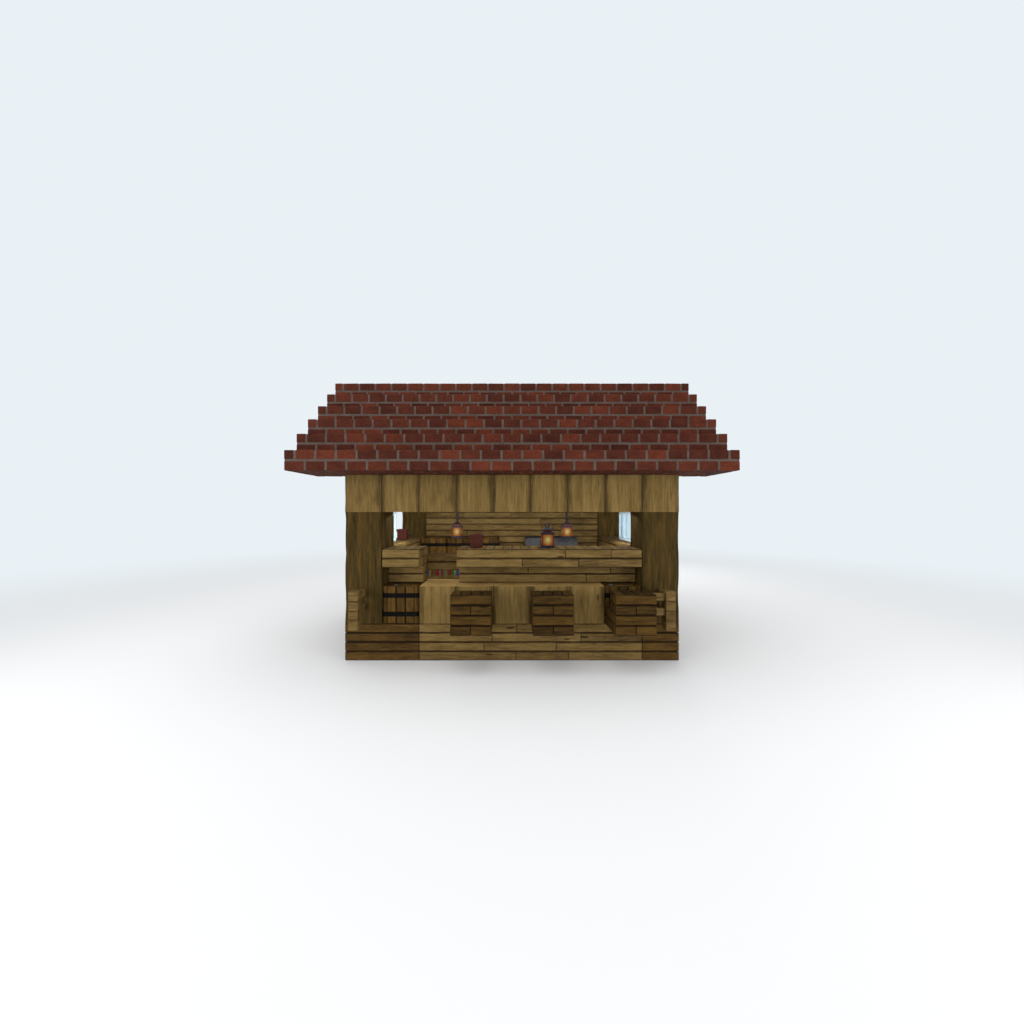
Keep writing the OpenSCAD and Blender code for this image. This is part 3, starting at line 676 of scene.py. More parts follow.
def log(build, low, high, radius, depth_at, step=0.03, rise=0.06, tone=0.0, end_kind=1, edge=0.0):
    """An upright squared log; depth_at(s, z) gives how far its skin lies inside its box."""
    width, depth, height = (high[i] - low[i] for i in range(3))
    middle = Vector(((low[0] + high[0]) / 2, (low[1] + high[1]) / 2, low[2]))
    ring = outline(width, depth, radius, step)
    count = len(ring)
    girth = girths([p for p, _ in ring])
    rows = max(2, round(height / rise))
    seed = build.random.uniform(0, 2 * MAP_RANGE)
    points, faces, maps, tones = [], [], [], []
    for k in range(rows + 1):
        z = height * k / rows
        fade = min(1.0, 0.25 + 8 * min(z, height - z))
        for s, (p, normal) in zip(girth, ring):
            inward = depth_at(s + seed, z + seed) * fade
            points.append(middle + p - normal * inward + Z * z)
    for k in range(rows):
        z0, z1 = (height * (k + j) / rows + seed for j in (0, 1))
        for i in range(count):
            j = (i + 1) % count
            side = ring[i][0] + (ring[j][0] - ring[i][0]) / 2
            inside = max(width / 2 - abs(side.x), depth / 2 - abs(side.y))
            tones.append(tone + edge * max(0.0, 1 - inside / EDGE_BAND))
            s0, s1 = girth[i] + seed, girth[i + 1] + seed
            faces.append([k * count + i, k * count + j, (k + 1) * count + j, (k + 1) * count + i])
            maps.append([(z0, s0), (z0, s1), (z1, s1), (z1, s0)])
    kinds = [0] * len(faces) + [end_kind] * 2
    for cap in ([rows * count + i for i in range(count)], list(range(count))[::-1]):
        faces.append(cap)
        maps.append([(ring[i % count][0].x, ring[i % count][0].y) for i in cap])
        tones.append(tone)
    build.add(points, faces, maps, tones, kinds)


def bark_depth(s, z):
    ridge = abs(noise.noise(Vector((s * 13.0, z * 1.4, 3.0))))
    fine = noise.noise(Vector((s * 42.0, z * 7.0, 9.0)))
    return 0.014 * (1 - min(1.0, 2.6 * ridge)) ** 1.5 + 0.0012 * (fine + 1)


def stripped_depth(s, z):
    wave = noise.noise(Vector((s * 9.0, z * 0.9, 5.0))) + 1
    crack = abs(noise.noise(Vector((s * 24.0, z * 1.1, 12.0))))
    return 0.002 * wave + 0.006 * max(0.0, 1 - crack * 14)


def stone_depth(s, z):
    broad = noise.noise(Vector((s * 5.0, z * 5.0, 31.0))) + 1
    chips = noise.noise(Vector((s * 28.0, z * 28.0, 7.0))) + 1
    return 0.0035 * broad + 0.0016 * chips


# Sizes that several pieces share, from the nodes

NEAR = 0.01
ROW_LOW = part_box("roof_front_row_1")[0]
ROW_2_LOW, ROW_2_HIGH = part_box("roof_front_row_2")
STEP_DEPTH = (ROW_2_LOW.y - ROW_LOW.y) / 2
EAVE_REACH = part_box("beam_front")[0].y - ROW_LOW.y
GABLE_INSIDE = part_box("gable_right")[0].x

# Bricks

BRICK_LENGTH = 0.3
BRICK_SIDE = 0.15
JOINT = 0.028
RECESS = 0.006


def brick_row(name, node, seed):
    """Replaces a roof row by true bricks round a mortar core, wherever its faces show.

    A place is given as a, the distance behind the row's front. Bricks along Y turn each corner."""
    low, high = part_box(node)
    build = Build(seed)
    front = low.y < 0 and abs(low.y) > abs(high.y)
    is_top = abs(high.z - CAD_HIGH.z) < NEAR
    is_eave = min(abs(low.y - CAD_LOW.y), abs(high.y - CAD_HIGH.y)) < NEAR
    depth = high.y - low.y
    courses = round((high.z - low.z) / BRICK_SIDE)
    half = courses // 2

    def span(a0, a1):
        return sorted((low.y + a if front else high.y - a) for a in (a0, a1))

    def bare_top(k, a):
        """Whether nothing lies on course k at the place a."""
        if k == half - 1:
            return a < STEP_DEPTH - NEAR
        return k == courses - 1 and (is_top or a < 2 * STEP_DEPTH - NEAR)

    def bare_base(k, a):
        return k == 0 and (is_eave or a > STEP_DEPTH - NEAR)

    def joint(bare):
        return 0.0 if bare else JOINT / 2

    def lay(x0, x1, a0, a1, k, begin, along):
        """One brick of course k; it has half a joint on each side that isn't bare."""
        x0 += joint(x0 < low.x + NEAR)
        x1 -= joint(x1 > high.x - NEAR)
        y0, y1 = span(a0 + joint(a0 < begin + NEAR), a1 - joint(a1 > depth - NEAR and not is_top))
        z0 = low.z + k * BRICK_SIDE + joint(bare_base(k, a0))
        z1 = low.z + (k + 1) * BRICK_SIDE - joint(bare_top(k, a0))
        if along == X:
            place = ((x0, y0, z0), X, Y, (x1 - x0, y1 - y0, z1 - z0))
        else:
            place = ((x1, y0, z0), Y, -X, (y1 - y0, x1 - x0, z1 - z0))
        build.block(*place, wobble=0.003, spread=0.3, edge=0.12)

    for k in range(courses):
        begin = 0.0 if k < half else STEP_DEPTH
        rows = round((depth - begin) / BRICK_SIDE)
        for j in range(rows):
            a = begin + j * BRICK_SIDE
            shown = j == 0 or bare_top(k, a) or (k == 0 and is_eave and a < EAVE_REACH - NEAR)
            under_verge = k == 0 or (j == rows - 1 and not is_top)
            inset = 0.0 if j == 0 and k % 2 == 0 else BRICK_SIDE
            x = low.x + BRICK_SIDE * ((j + k) % 2)
            while x < high.x - inset - NEAR:
                x0, x1 = max(x, low.x + inset), min(x + BRICK_LENGTH, high.x - inset)
                if shown or (under_verge and max(-x0, x1) > GABLE_INSIDE + NEAR):
                    lay(x0, x1, a, a + BRICK_SIDE, k, begin, X)
                x += BRICK_LENGTH
        a = begin + BRICK_SIDE * (1 - k % 2)
        while a < depth - NEAR:
            for x0 in (low.x, high.x - BRICK_SIDE):
                lay(x0, x0 + BRICK_SIDE, a, min(a + BRICK_LENGTH, depth), k, begin, Y)
            a += BRICK_LENGTH

    middle = low.z + half * BRICK_SIDE - RECESS
    top = high.z - RECESS
    back = depth - (0.0 if is_top else RECESS)
    base = low.z + RECESS
    cores = [(RECESS, STEP_DEPTH, base if is_eave else low.z, middle), (STEP_DEPTH, back, base, middle),
             (STEP_DEPTH + RECESS, back, middle, top)]
    if not is_top:
        cores.append((2 * STEP_DEPTH, back, top, high.z))
    for a0, a1, z0, z1 in cores:
        y0, y1 = span(a0, a1)
        build.box((low.x + RECESS, y0, z0), (high.x - RECESS, y1, z1), kind=1)
    build.finish(name, [BRICK_MAT, MORTAR_MAT], "brick", node)


# The plinth and the floor

clad_box("plinth_boards_front_left", "plinth_front_left", "-y-x", 11, PLINTH_DARK_WITH_PAINTED_LIGHT_MAT, "dark_boards")
clad_box("plinth_boards_front_middle", "plinth_front_middle", "-y", 12)
clad_box("plinth_boards_front_right", "plinth_front_right", "-y+x", 13, PLINTH_DARK_WITH_PAINTED_LIGHT_MAT, "dark_boards")
clad_box("plinth_boards_left", "plinth_left", "-x", 14)
clad_box("plinth_boards_right", "plinth_right", "+x", 15)
clad_box("plinth_boards_back", "plinth_back", "+y-x+x+z", 16)
stacked("floor_boards", "floor_deck", 17)
timbers_back("floor_bearers", "floor_bearers", 18, 3, BOARD)

# The posts and beams

def bark_post(node, seed):
    low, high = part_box(node)
    build = Build(seed)
    log(build, low, high, POST_CORNER, bark_depth, step=0.016, rise=0.035, edge=POST_EDGE_TONE)
    build.finish(node + "_bark", [BARK_MAT, LOG_END_WITH_TOP_LIGHT_MAT], "dark_log", node)


def log_beam(node, count, axis, seed):
    """A beam of upright squared logs, side by side along an axis, with a loose tongue in each joint."""
    low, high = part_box(node)
    build = Build(seed)
    pitch = (high[axis] - low[axis]) / count
    for i in range(count):
        a, b = Vector(low), Vector(high)
        a[axis] = low[axis] + i * pitch + LOG_SEAM / 2
        b[axis] = a[axis] + pitch - LOG_SEAM
        tone = build.random.uniform(-0.04, 0.08)
        log(build, a, b, LOG_CORNER, stripped_depth, tone=tone, edge=LOG_JOINT_SHADE)
    for i in range(1, count):
        a, b = low + TONGUE_INSET, high - TONGUE_INSET
        a[axis] = low[axis] + i * pitch - TONGUE / 2
        b[axis] = a[axis] + TONGUE
        build.box(a, b, tone=TONGUE_SHADE)
    build.finish(node + "_logs", [STRIPPED_MAT, LOG_END_WITH_TOP_LIGHT_MAT], "stripped_log", node)


for seed, post in enumerate(("front_left", "front_right", "back_left", "back_right"), 21):
    bark_post("post_" + post, seed)
log_beam("beam_front", 9, 0, 31)
log_beam("beam_back", 9, 0, 32)
log_beam("beam_left", 4, 1, 33)
log_beam("beam_right", 4, 1, 34)
log_beam("counter_logs", 5, 0, 35)

# The counter, the sign board and the seats

SEAT_COUNT = 3
SEAT_SIDE = 0.6


def counter(node, seed):
    """The counter's timbers: courses of full depth with a planked top, over courses of half the depth."""
    low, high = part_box(node)
    build = Build(seed)
    middle = (low + high) / 2
    upper_z = (middle.z + high.z) / 2
    planked_top(build, low.x, high.x, low.y, high.y, upper_z, high.z)
    stack(build, low.x, high.x, low.y, high.y, middle.z, upper_z)
    stack(build, low.x, high.x, middle.y, high.y, low.z, middle.z)
    build.finish(node + "_timbers", [OAK_MAT], "oak_boards", node)


def seats():
    low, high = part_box("seats")
    build = Build(44)
    pitch = (high.x - low.x - SEAT_SIDE) / (SEAT_COUNT - 1)
    middle = (low + high) / 2
    steps = ((high.y, low.z, middle.z, stack), (middle.y, middle.z, high.z, planked_top))
    for i in range(SEAT_COUNT):
        x = low.x + i * pitch
        for back, z0, z1, top in steps:
            course = (z0 + z1) / 2
            for x0 in (x, x + SEAT_SIDE / 2):
                stack(build, x0, x0 + SEAT_SIDE / 2, low.y, back, z0, course)
            top(build, x, x + SEAT_SIDE, low.y, back, course, z1)
    build.finish("seat_timbers", [DARK_MAT], "dark_boards", "seats")


counter("counter_left", 41)
counter("counter_right", 42)
stacked("sign_board_planks", "sign_board", 43)
seats()

# The walls, sills, ceiling and gables

LINING = 0.1


def linings():
    low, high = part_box("side_linings")
    build = Build(55)
    inner = high.x - LINING
    for side in (-1, 1):
        x0, x1 = sorted((side * (inner + SKIN), side * high.x))
        build.box((x0, low.y, low.z), (x1, high.y, high.z), kind=1)
        board_side(build, -side, side * inner, low.y, high.y, low.z, high.z)
    build.finish("side_lining_boards", [OAK_MAT, CORE_SHADE_MAT], "oak_boards", "side_linings")


def sill(node, seed):
    low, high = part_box(node)
    count = round((high.x - low.x) / BOARD)
    timbers_back(node + "_planks", node, seed, count, (high.x - low.x) / count)


def gable(node, side):
    """Boards on the outer face, within the stepped outline under the roof."""
    low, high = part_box(node)
    build = Build(58 + side)
    middle = (low.z + high.z) / 2
    for z0, z1, y in ((low.z, middle, high.y), (middle, high.z, -ROW_2_HIGH.y)):
        x0, x1 = (low.x + SKIN, high.x) if side < 0 else (low.x, high.x - SKIN)
        build.box((x0, -y, z0), (x1, y, z1), kind=1)
        board_side(build, side, low.x if side < 0 else high.x, -y, y, z0, z1)
    build.finish(node + "_boards", [OAK_MAT, CORE_SHADE_MAT], "oak_boards", node)


clad_box("side_wall_boards_left", "side_wall_left", "-x", 51)
clad_box("side_wall_boards_right", "side_wall_right", "+x", 52)
clad_box("back_wall_boards", "back_wall", "-y+y", 53)
clad_box("ceiling_boards", "ceiling", "-z", 54)
linings()
sill("sill_left", 56)
sill("sill_right", 57)
gable("gable_left", -1)
gable("gable_right", 1)

# The roof

for seed, row in enumerate([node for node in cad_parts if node.startswith("roof_")], 70):
    brick_row(row + "_bricks", row, seed)

# The casks

STAVE_T = 0.038
STAVE_COUNT = 3
STAVE_GAP = 0.006
STAVE_BEVEL = 0.009
CORNER_STAVE = 0.065
CASK_CORNER = 0.03
CASK_END = 0.004
HEAD_T = 0.03
HEAD_DEPTH = 0.022
HEAD_BOARD = 0.1
BUNG_PLACE = (0.25, 0.36)
BUNG_SUNK = 0.004
BUNG_PROFILE = ((0.03, 0.0), (0.03, 0.012), (0.027, 0.016), (0.02, 0.017), (0.017, 0.013), (0.004, 0.013))
BAND_H = 0.075
BAND_T = 0.0045
BAND_GAP = 0.003
BAND_BEVEL = 0.0015
RIVET = (0.008, 0.002)
RIVETS_ALONG = (-0.42, -0.14, 0.14, 0.42)
RIVETS_UP = (0.28, 0.72)


def corner_stave(build, x0, y0, z0, side, height, fx, fy):
    """The rounded stave at one corner of a cask; fx and fy point from the corner into the cask."""
    h = CORNER_STAVE / 2
    cx = x0 + (h if fx > 0 else side - h)
    cy = y0 + (h if fy > 0 else side - h)
    end, inside = h - 0.001, STAVE_T - h
    shape = [(CASK_CORNER - h, -h), (end, -h), (end, inside), (inside + 0.012, h - 0.02), (inside, end),
             (-h, end), (-h, CASK_CORNER - h)]
    spots = [(cx + x * fx, cy + y * fy) for x, y in shape]
    if fx * fy < 0:
        spots.reverse()
    tone = build.random.uniform(-0.12, 0.12)
    rings = []
    top = z0 + height
    for inset, z in ((CASK_END, z0), (0, z0 + CASK_END), (0, top - CASK_END), (CASK_END, top)):
        rings.append([Vector((x + (cx - x) * inset / h, y + (cy - y) * inset / h, z)) for x, y in spots])
    build.loft(rings, tone)


def cask(build, x0, y0, z0, side, height):
    """A square cask of upright staves with boarded heads that lie inside its rims."""
    for fx, fy in ((1, 1), (-1, 1), (-1, -1), (1, -1)):
        corner_stave(build, x0, y0, z0, side, height, fx, fy)
    width = (side - 2 * CORNER_STAVE) / STAVE_COUNT
    for i in range(STAVE_COUNT):
        a = CORNER_STAVE + i * width
        for x, y, v in ((a + width, 0, -X), (side, a + width, -Y), (a, side, X), (0, a, Y)):
            thick = STAVE_T - build.random.uniform(0, 0.0012)
            corner = Vector((x0 + x, y0 + y, z0)) - Z.cross(v) * STAVE_T + v * STAVE_GAP / 2
            build.block(corner, Z, v, (height, width - STAVE_GAP, thick), STAVE_BEVEL, edge=EDGE_SHADE)
    inner = side - 2 * STAVE_T
    x1, y1 = x0 + STAVE_T, y0 + STAVE_T
    base, top = z0 + HEAD_DEPTH, z0 + height - HEAD_DEPTH
    build.box((x1, y1, base + HEAD_T), (x1 + inner, y1 + inner, top - HEAD_T), 1)
    board_face(build, (x1, y1, top), X, Y, inner, inner, HEAD_BOARD, HEAD_T, kind=3)
    board_face(build, (x1, y1 + inner, base), X, -Y, inner, inner, HEAD_BOARD, HEAD_T, kind=3)
    bung = Vector((x0 + BUNG_PLACE[0] * side, y0 + BUNG_PLACE[1] * side, top - BUNG_SUNK))
    build.turned(bung, X, Y, BUNG_PROFILE, 20, kind=2)


def bands(build, cx, cy, side, tops):
    """The two iron bands of one cask, each with rows of rivets along its four faces."""
    outer, inner = side - BAND_GAP, side - BAND_GAP - 2 * BAND_T
    eased = outer - 2 * BAND_BEVEL
    for top in tops:
        low = top - BAND_H
        profile = ((outer, low + BAND_BEVEL), (outer, top - BAND_BEVEL), (eased, top), (inner, top),
                   (inner, low), (eased, low))
        build.square((cx, cy), CASK_CORNER, profile, close=True)
        for u, n in ((X, -Y), (Y, X), (X, Y), (Y, -X)):
            for along in RIVETS_ALONG:
                for z in RIVETS_UP:
                    spot = Vector((cx, cy, low + BAND_H * z)) + n * (outer / 2 - SUNK) + u * along * side
                    build.dome(spot, n, *RIVET)


def casks(node, band_node, count, seed):
    low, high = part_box(node)
    band_low, band_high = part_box(band_node)
    side = high.y - low.y
    pitch = (high.x - low.x - side) / (count - 1)
    tops = (band_high.z, band_low.z + BAND_H)
    wood, iron = Build(seed), Build(seed + 1)
    for i in range(count):
        x = low.x + i * pitch
        cask(wood, x, low.y, low.z, side, high.z - low.z)
        bands(iron, x + side / 2, (low.y + high.y) / 2, band_high.y - band_low.y, tops)
    wood.finish(node + "_staves", [STAVE_MAT, CORE_SHADE_MAT, BUNG_MAT, HEAD_MAT], "cask_wood", node)
    iron.finish(band_node + "_hoops", [HOOP_MAT], "iron", band_node)


casks("front_casks", "front_cask_bands", 2, 101)
casks("back_casks", "back_cask_bands", 3, 103)

# The railings

RAIL = 0.075
RAIL_H = 0.112
RAIL_LEVELS = (0.225, 0.45)


def railing(node, seed, post, cx, end=None):
    """A post with two rails back to the stall, and two more to the end, where one is given."""
    low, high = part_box(node)
    build = Build(seed)
    y, back = low.y + post / 2, low.y + post
    courses = round((high.z - low.z) / BOARD)
    course = (high.z - low.z) / courses
    for k in range(courses):
        z0 = low.z + k * course + (SEAM / 2 if k else 0.0)
        z1 = low.z + (k + 1) * course - (SEAM / 2 if k < courses - 1 else 0.0)
        tone = build.random.uniform(-0.25, 0.0)
        build.block((cx - post / 2, low.y, z0), X, Y, (post, post, z1 - z0), tone=tone)
    inset = post / 2 - GROOVE
    build.box((cx - inset, y - inset, low.z + GROOVE), (cx + inset, y + inset, high.z - GROOVE), kind=1)
    for level in RAIL_LEVELS:
        z = low.z + level
        build.block((cx + RAIL / 2, back, z), Y, -X, (high.y - back, RAIL, RAIL_H))
        if end is not None:
            build.block((end, y - RAIL / 2, z), X, Y, (cx - post / 2 - end, RAIL, RAIL_H))
    build.finish(node + "_timber", [OAK_MAT, CORE_SHADE_MAT], "oak_boards", node)


def railings():
    low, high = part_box("railing_left")
    right_low, right_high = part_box("railing_right")
    post = high.x - low.x
    railing("railing_left", 111, post, (low.x + high.x) / 2)
    railing("railing_right", 112, post, right_high.x - post / 2, right_low.x)


railings()

# The glazed panels

PANE_BAR = 0.038
PANE_BEVEL = 0.004
MIDDLE_BAR_AT = 1.2
BEAD = 0.012
BEAD_AT = 0.007
SHEET_T = 0.012
SHEET_GAP = 0.0005


def pane_frame(node, seed, middle_bar, sheets):
    """The bars of one panel, the beads in each of its openings, and a sheet of glass between them."""
    low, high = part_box(node)
    build = Build(seed)
    thick, length, height = high.x - low.x, high.y - low.y, high.z - low.z
    for z in (low.z, high.z - PANE_BAR):
        build.block((high.x, low.y, z), Y, -X, (length, thick, PANE_BAR), PANE_BEVEL, spread=0.05)
    bars = [low.y, high.y - PANE_BAR]
    if middle_bar:
        bars.insert(1, low.y + MIDDLE_BAR_AT - PANE_BAR / 2)
    z0, z1 = low.z + PANE_BAR, high.z - PANE_BAR
    for y in bars:
        size = (height - 2 * PANE_BAR, thick, PANE_BAR)
        build.block((low.x, y, z0), Z, X, size, PANE_BEVEL, spread=0.05)
    middle = (low.x + high.x) / 2
    for y0, y1 in zip((y + PANE_BAR for y in bars), bars[1:]):
        for side in (-1, 1):
            x0 = middle + side * (BEAD_AT + BEAD / 2) - BEAD / 2
            for z in (z0, z1 - BEAD):
                build.box((x0, y0, z), (x0 + BEAD, y1, z + BEAD))
            for y in (y0, y1 - BEAD):
                build.box((x0, y, z0 + BEAD), (x0 + BEAD, y + BEAD, z1 - BEAD))
        corner = (middle + SHEET_T / 2, y0 + SHEET_GAP, z0 + SHEET_GAP)
        size = (y1 - y0 - 2 * SHEET_GAP, SHEET_T, z1 - z0 - 2 * SHEET_GAP)
        sheets.block(corner, Y, -X, size, 0.001, 0.0, wobble=0.0)
    build.finish(node + "_bars", [PANE_FRAME_MAT], "window_frame", node)


sheets = Build(121)
pane_frame("window_frame_left", 122, False, sheets)
pane_frame("window_frame_right", 123, True, sheets)
sheets.finish("window_sheets", [GLASS_MAT], "glass", "window_glass")

# The pots

POT_CORNER = 0.012
RIM_H = 0.05
RIM_REACH = 0.014
POT_WALL = 0.044
POT_BANDS_AT = (0.05, 0.075)
POT_BAND = ((0.0002, 0.0), (0.003, 0.003), (0.003, 0.008), (0.0002, 0.011))


def pot(node, seed):
    """A square, hollow pot with a thick rim and two low bands round its foot."""
    low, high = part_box(node)
    build = Build(seed)
    centre = (low + high) / 2
    side = high.x - low.x
    body, hollow = side - 2 * RIM_REACH, side - 2 * POT_WALL
    rim = high.z - RIM_H
    build.square(centre, POT_CORNER, (
        (body - 0.012, low.z), (body, low.z + 0.006), (body, rim - 0.004), (side - 0.008, rim),
        (side, rim + 0.006), (side, high.z - 0.007), (side - 0.004, high.z - 0.002), (side - 0.014, high.z),
        (hollow + 0.014, high.z), (hollow + 0.004, high.z - 0.003), (hollow, high.z - 0.012),
        (hollow - 0.006, low.z + 0.036), (hollow - 0.024, low.z + 0.03)))
    for at in POT_BANDS_AT:
        band = [(body + out, low.z + at + rise) for out, rise in POT_BAND]
        build.square(centre, POT_CORNER, band, caps=False)
    build.finish(node + "_clay", [CLAY_MAT], "terracotta", node)


pot("pot_counter", 131)
pot("pot_sill", 132)

# The lanterns and their chains

PLATE_T = 0.034
PLATE_EDGE = 0.02
PLATE_STEP = 0.012
PLATE_BEVEL = 0.003
PANE_TOP = 0.262
PANE_SIZE = (0.165, 0.193)
PANE_AT = 0.0962
BAR = 0.024
BAR_INSET = 0.018
STRIP = (0.01, 0.0085)
STRIP_AT = 0.096
STUD = (0.008, 0.004)
STUD_INSET = 0.026
NECK = 0.112
NECK_H = 0.036
NECK_POST = (0.058, 0.014)
RIB = (0.018, 0.009)
RIB_PLACES = (-0.045, -0.015, 0.015, 0.045)
CAP_PROFILE = ((0.152, 0.0), (0.156, 0.002), (0.156, 0.01), (0.152, 0.012), (0.128, 0.019), (0.104, 0.0265),
               (0.088, 0.034), (0.084, 0.036), (0.08, 0.039))
KNOB_PROFILE = ((0.018, 0.038), (0.018, 0.041), (0.014, 0.044), (0.006, 0.046))
RING_R = 0.042
ROD = 0.02
ROD_TONE = -0.4
LINK_WIDTH = 0.076
LINK_PLAY = 0.0004
ROSE_T = 0.014
ROSE_STUD = (0.005, 0.002)
ROSE_STUDS_AT = 0.042
ROSE_PROFILE = ((0.036, 0.0), (0.046, 0.003), (0.055, 0.009), (0.055, ROSE_T))
DIAGONALS = [(x, y) for x in (-1, 1) for y in (-1, 1)]


def ring(build, middle, axis):
    """A ring of round rod that stands in the plane of an axis and Z."""
    build.hoop(circle(middle, RING_R - ROD / 2, axis, Z), ROD / 2, ROD_TONE)


def lantern_iron(node, seed, centre, side, base, lid, neck_top, ring_axis):
    """The two plates, the upper one with studs, and the cap with its knob and ring."""
    mid = Vector((*centre, 0))
    build = Build(seed)
    plates = ((side, 0.012, base, base + PLATE_EDGE),
              (side - PLATE_STEP, 0.01, base + PLATE_EDGE, base + PLATE_T),
              (side - PLATE_STEP, 0.01, lid - PLATE_T, lid - PLATE_EDGE),
              (side, 0.012, lid - PLATE_EDGE, lid))
    for plate in plates:
        build.prism(centre, *plate, PLATE_BEVEL)
    for x, y in DIAGONALS:
        spot = mid + Vector((x, y, 0)) * (side / 2 - STUD_INSET)
        build.dome(spot + Z * (lid - SUNK), Z, *STUD)
    build.square(centre, 0.004, [(w, neck_top + z) for w, z in CAP_PROFILE])
    build.turned(mid + Z * neck_top, X, Y, KNOB_PROFILE, 16)
    ring(build, mid + Z * (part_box(node)[1].z - RING_R), ring_axis)
    build.finish(node + "_iron", [IRON_MAT], "iron", node)


def lantern_brown(node, seed, centre, side, base, lid, neck_top):
    """The corner bars with the strips between them, and the ribbed neck under the cap."""
    mid = Vector((*centre, 0))
    build = Build(seed)
    z0, z1 = base + PLATE_T, lid - PLATE_T
    bar_at = side / 2 - BAR_INSET
    for x, y in DIAGONALS:
        build.prism((centre[0] + x * bar_at, centre[1] + y * bar_at), BAR, 0.003, z0, z1, 0.001)
    half = bar_at - BAR / 2
    for u, n in AROUND:
        for z in (z0, z1 - STRIP[0]):
            corner = mid + Z * z + n * STRIP_AT - u * half
            build.block(corner, u, Z, (2 * half, *STRIP), 0.0015, 0.0, wobble=0.0)
    build.prism(centre, NECK, 0.008, lid, neck_top, 0.001)
    for u, n in AROUND:
        for place in RIB_PLACES:
            corner = mid + Z * lid + n * NECK / 2 + u * (place - RIB[0] / 2)
            build.block(corner, Z, u, (NECK_H, *RIB), 0.002, 0.0, wobble=0.0)
    at, width = NECK_POST
    for x, y in DIAGONALS:
        build.prism((centre[0] + x * at, centre[1] + y * at), width, 0.002, lid, neck_top, 0.001)
    build.finish(node + "_bars_and_neck", [BROWN_MAT], "lantern_cap")


def glass_pane(build, middle, u, n, width, height, bulge=0.004, count=8):
    """A slightly domed pane; its grain map starts at its middle."""
    points, faces, maps = [], [], []
    for j in range(count + 1):
        for i in range(count + 1):
            x, y = i / count * 2 - 1, j / count * 2 - 1
            rise = bulge * (1 - x * x) * (1 - y * y)
            points.append(middle + u * x * width / 2 + Z * y * height / 2 + n * rise)
    for j in range(count):
        for i in range(count):
            first = j * (count + 1) + i
            face = [first, first + 1, first + count + 2, first + count + 1]
            faces.append(face)
            maps.append([((points[k] - middle).dot(u), points[k].z - middle.z) for k in face])
    build.add(points, faces, maps, [0.0] * len(faces), [0] * len(faces))


def lanterns():
    glow = Build(141)
    for i, node in enumerate(("lantern_standing", "lantern_left", "lantern_right")):
        low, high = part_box(node)
        centre = ((low.x + high.x) / 2, (low.y + high.y) / 2)
        lid = low.z + PANE_TOP
        place = (centre, high.x - low.x, low.z, lid, lid + NECK_H)
        lantern_iron(node, 142 + 2 * i, *place, Y if i else X)
        lantern_brown(node, 143 + 2 * i, *place)
        for u, n in AROUND:
            glass_pane(glow, Vector((*centre, low.z + PANE_TOP / 2)) + n * PANE_AT, u, n, *PANE_SIZE)
    glow.finish("lantern_panes", [LANTERN_GLASS_MAT], "lantern_glass", "lantern_glasses")


def link_path(inner_crown, inner_length, u):
    """The middle line of an upright oval link whose lower inner crown is given."""
    r = (LINK_WIDTH - ROD) / 2
    low = inner_crown + Z * (r - ROD / 2)
    high = low + Z * (inner_length - 2 * r + ROD)
    turn = [math.pi * i / 12 for i in range(13)]
    return ([low - u * math.cos(t) * r - Z * math.sin(t) * r for t in turn]
            + [high + u * math.cos(t) * r + Z * math.sin(t) * r for t in turn])


def chains():
    """One long link from each hanging lantern's ring to an eye under a rose at the ceiling."""
    build = Build(151)
    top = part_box("lantern_chains")[1].z
    base = top - ROSE_T
    eye_base = base - 2 * RING_R + ROD / 2
    for node in ("lantern_left", "lantern_right"):
        low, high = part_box(node)
        mid = Vector(((low.x + high.x) / 2, (low.y + high.y) / 2, 0))
        crown = high.z - ROD
        length = eye_base + ROD - crown + 2 * LINK_PLAY
        build.hoop(link_path(mid + Z * (crown - LINK_PLAY), length, X), ROD / 2, ROD_TONE)
        ring(build, mid + Z * (eye_base + RING_R), Y)
        build.turned(mid + Z * base, X, Y, ROSE_PROFILE, 32)
        for t in (0.25, 0.75, 1.25, 1.75):
            away = X * math.cos(math.pi * t) + Y * math.sin(math.pi * t)
            build.dome(mid + Z * (base + ROSE_STUD[1]) + away * ROSE_STUDS_AT, -Z, *ROSE_STUD)
    build.finish("lantern_chain_links", [IRON_MAT], "iron", "lantern_chains")


lanterns()
chains()

# The back row

CASE_T = 0.036
SHELF_T = 0.075
BAY_DEPTH = 0.26
BAY_COUNT = 3
BACK_BOARD, BACK_T = 0.1, 0.02
CASE_BEVEL = 0.004
BOOK_COUNT = 8
BOOK_ROOM = 0.002
BOOK_GAP = 0.0006
TALLEST, BOOK_STEP = 0.92, 0.04
BOOK_SHIFT = 0.012
COVER = 0.003
PAPER_TONE = 0.95
CLOTH_COUNT = 6
STONE_COUNT = 2
STONE_GAP = 0.004
STONE_COURSE = 0.3
STONE_CORNER = 0.014


def bays():
    """The lower left front corner of each bay, and the width and height of a bay."""
    low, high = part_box("bookcase")
    pitch = (high.x - low.x) / BAY_COUNT
    width = pitch - 2 * CASE_T
    height = (high.z - low.z - 2 * CASE_T - SHELF_T) / 2
    spots = [Vector((low.x + i * pitch + CASE_T, low.y, low.z + CASE_T + j * (height + SHELF_T)))
             for i in range(BAY_COUNT) for j in (0, 1)]
    return spots, width, height


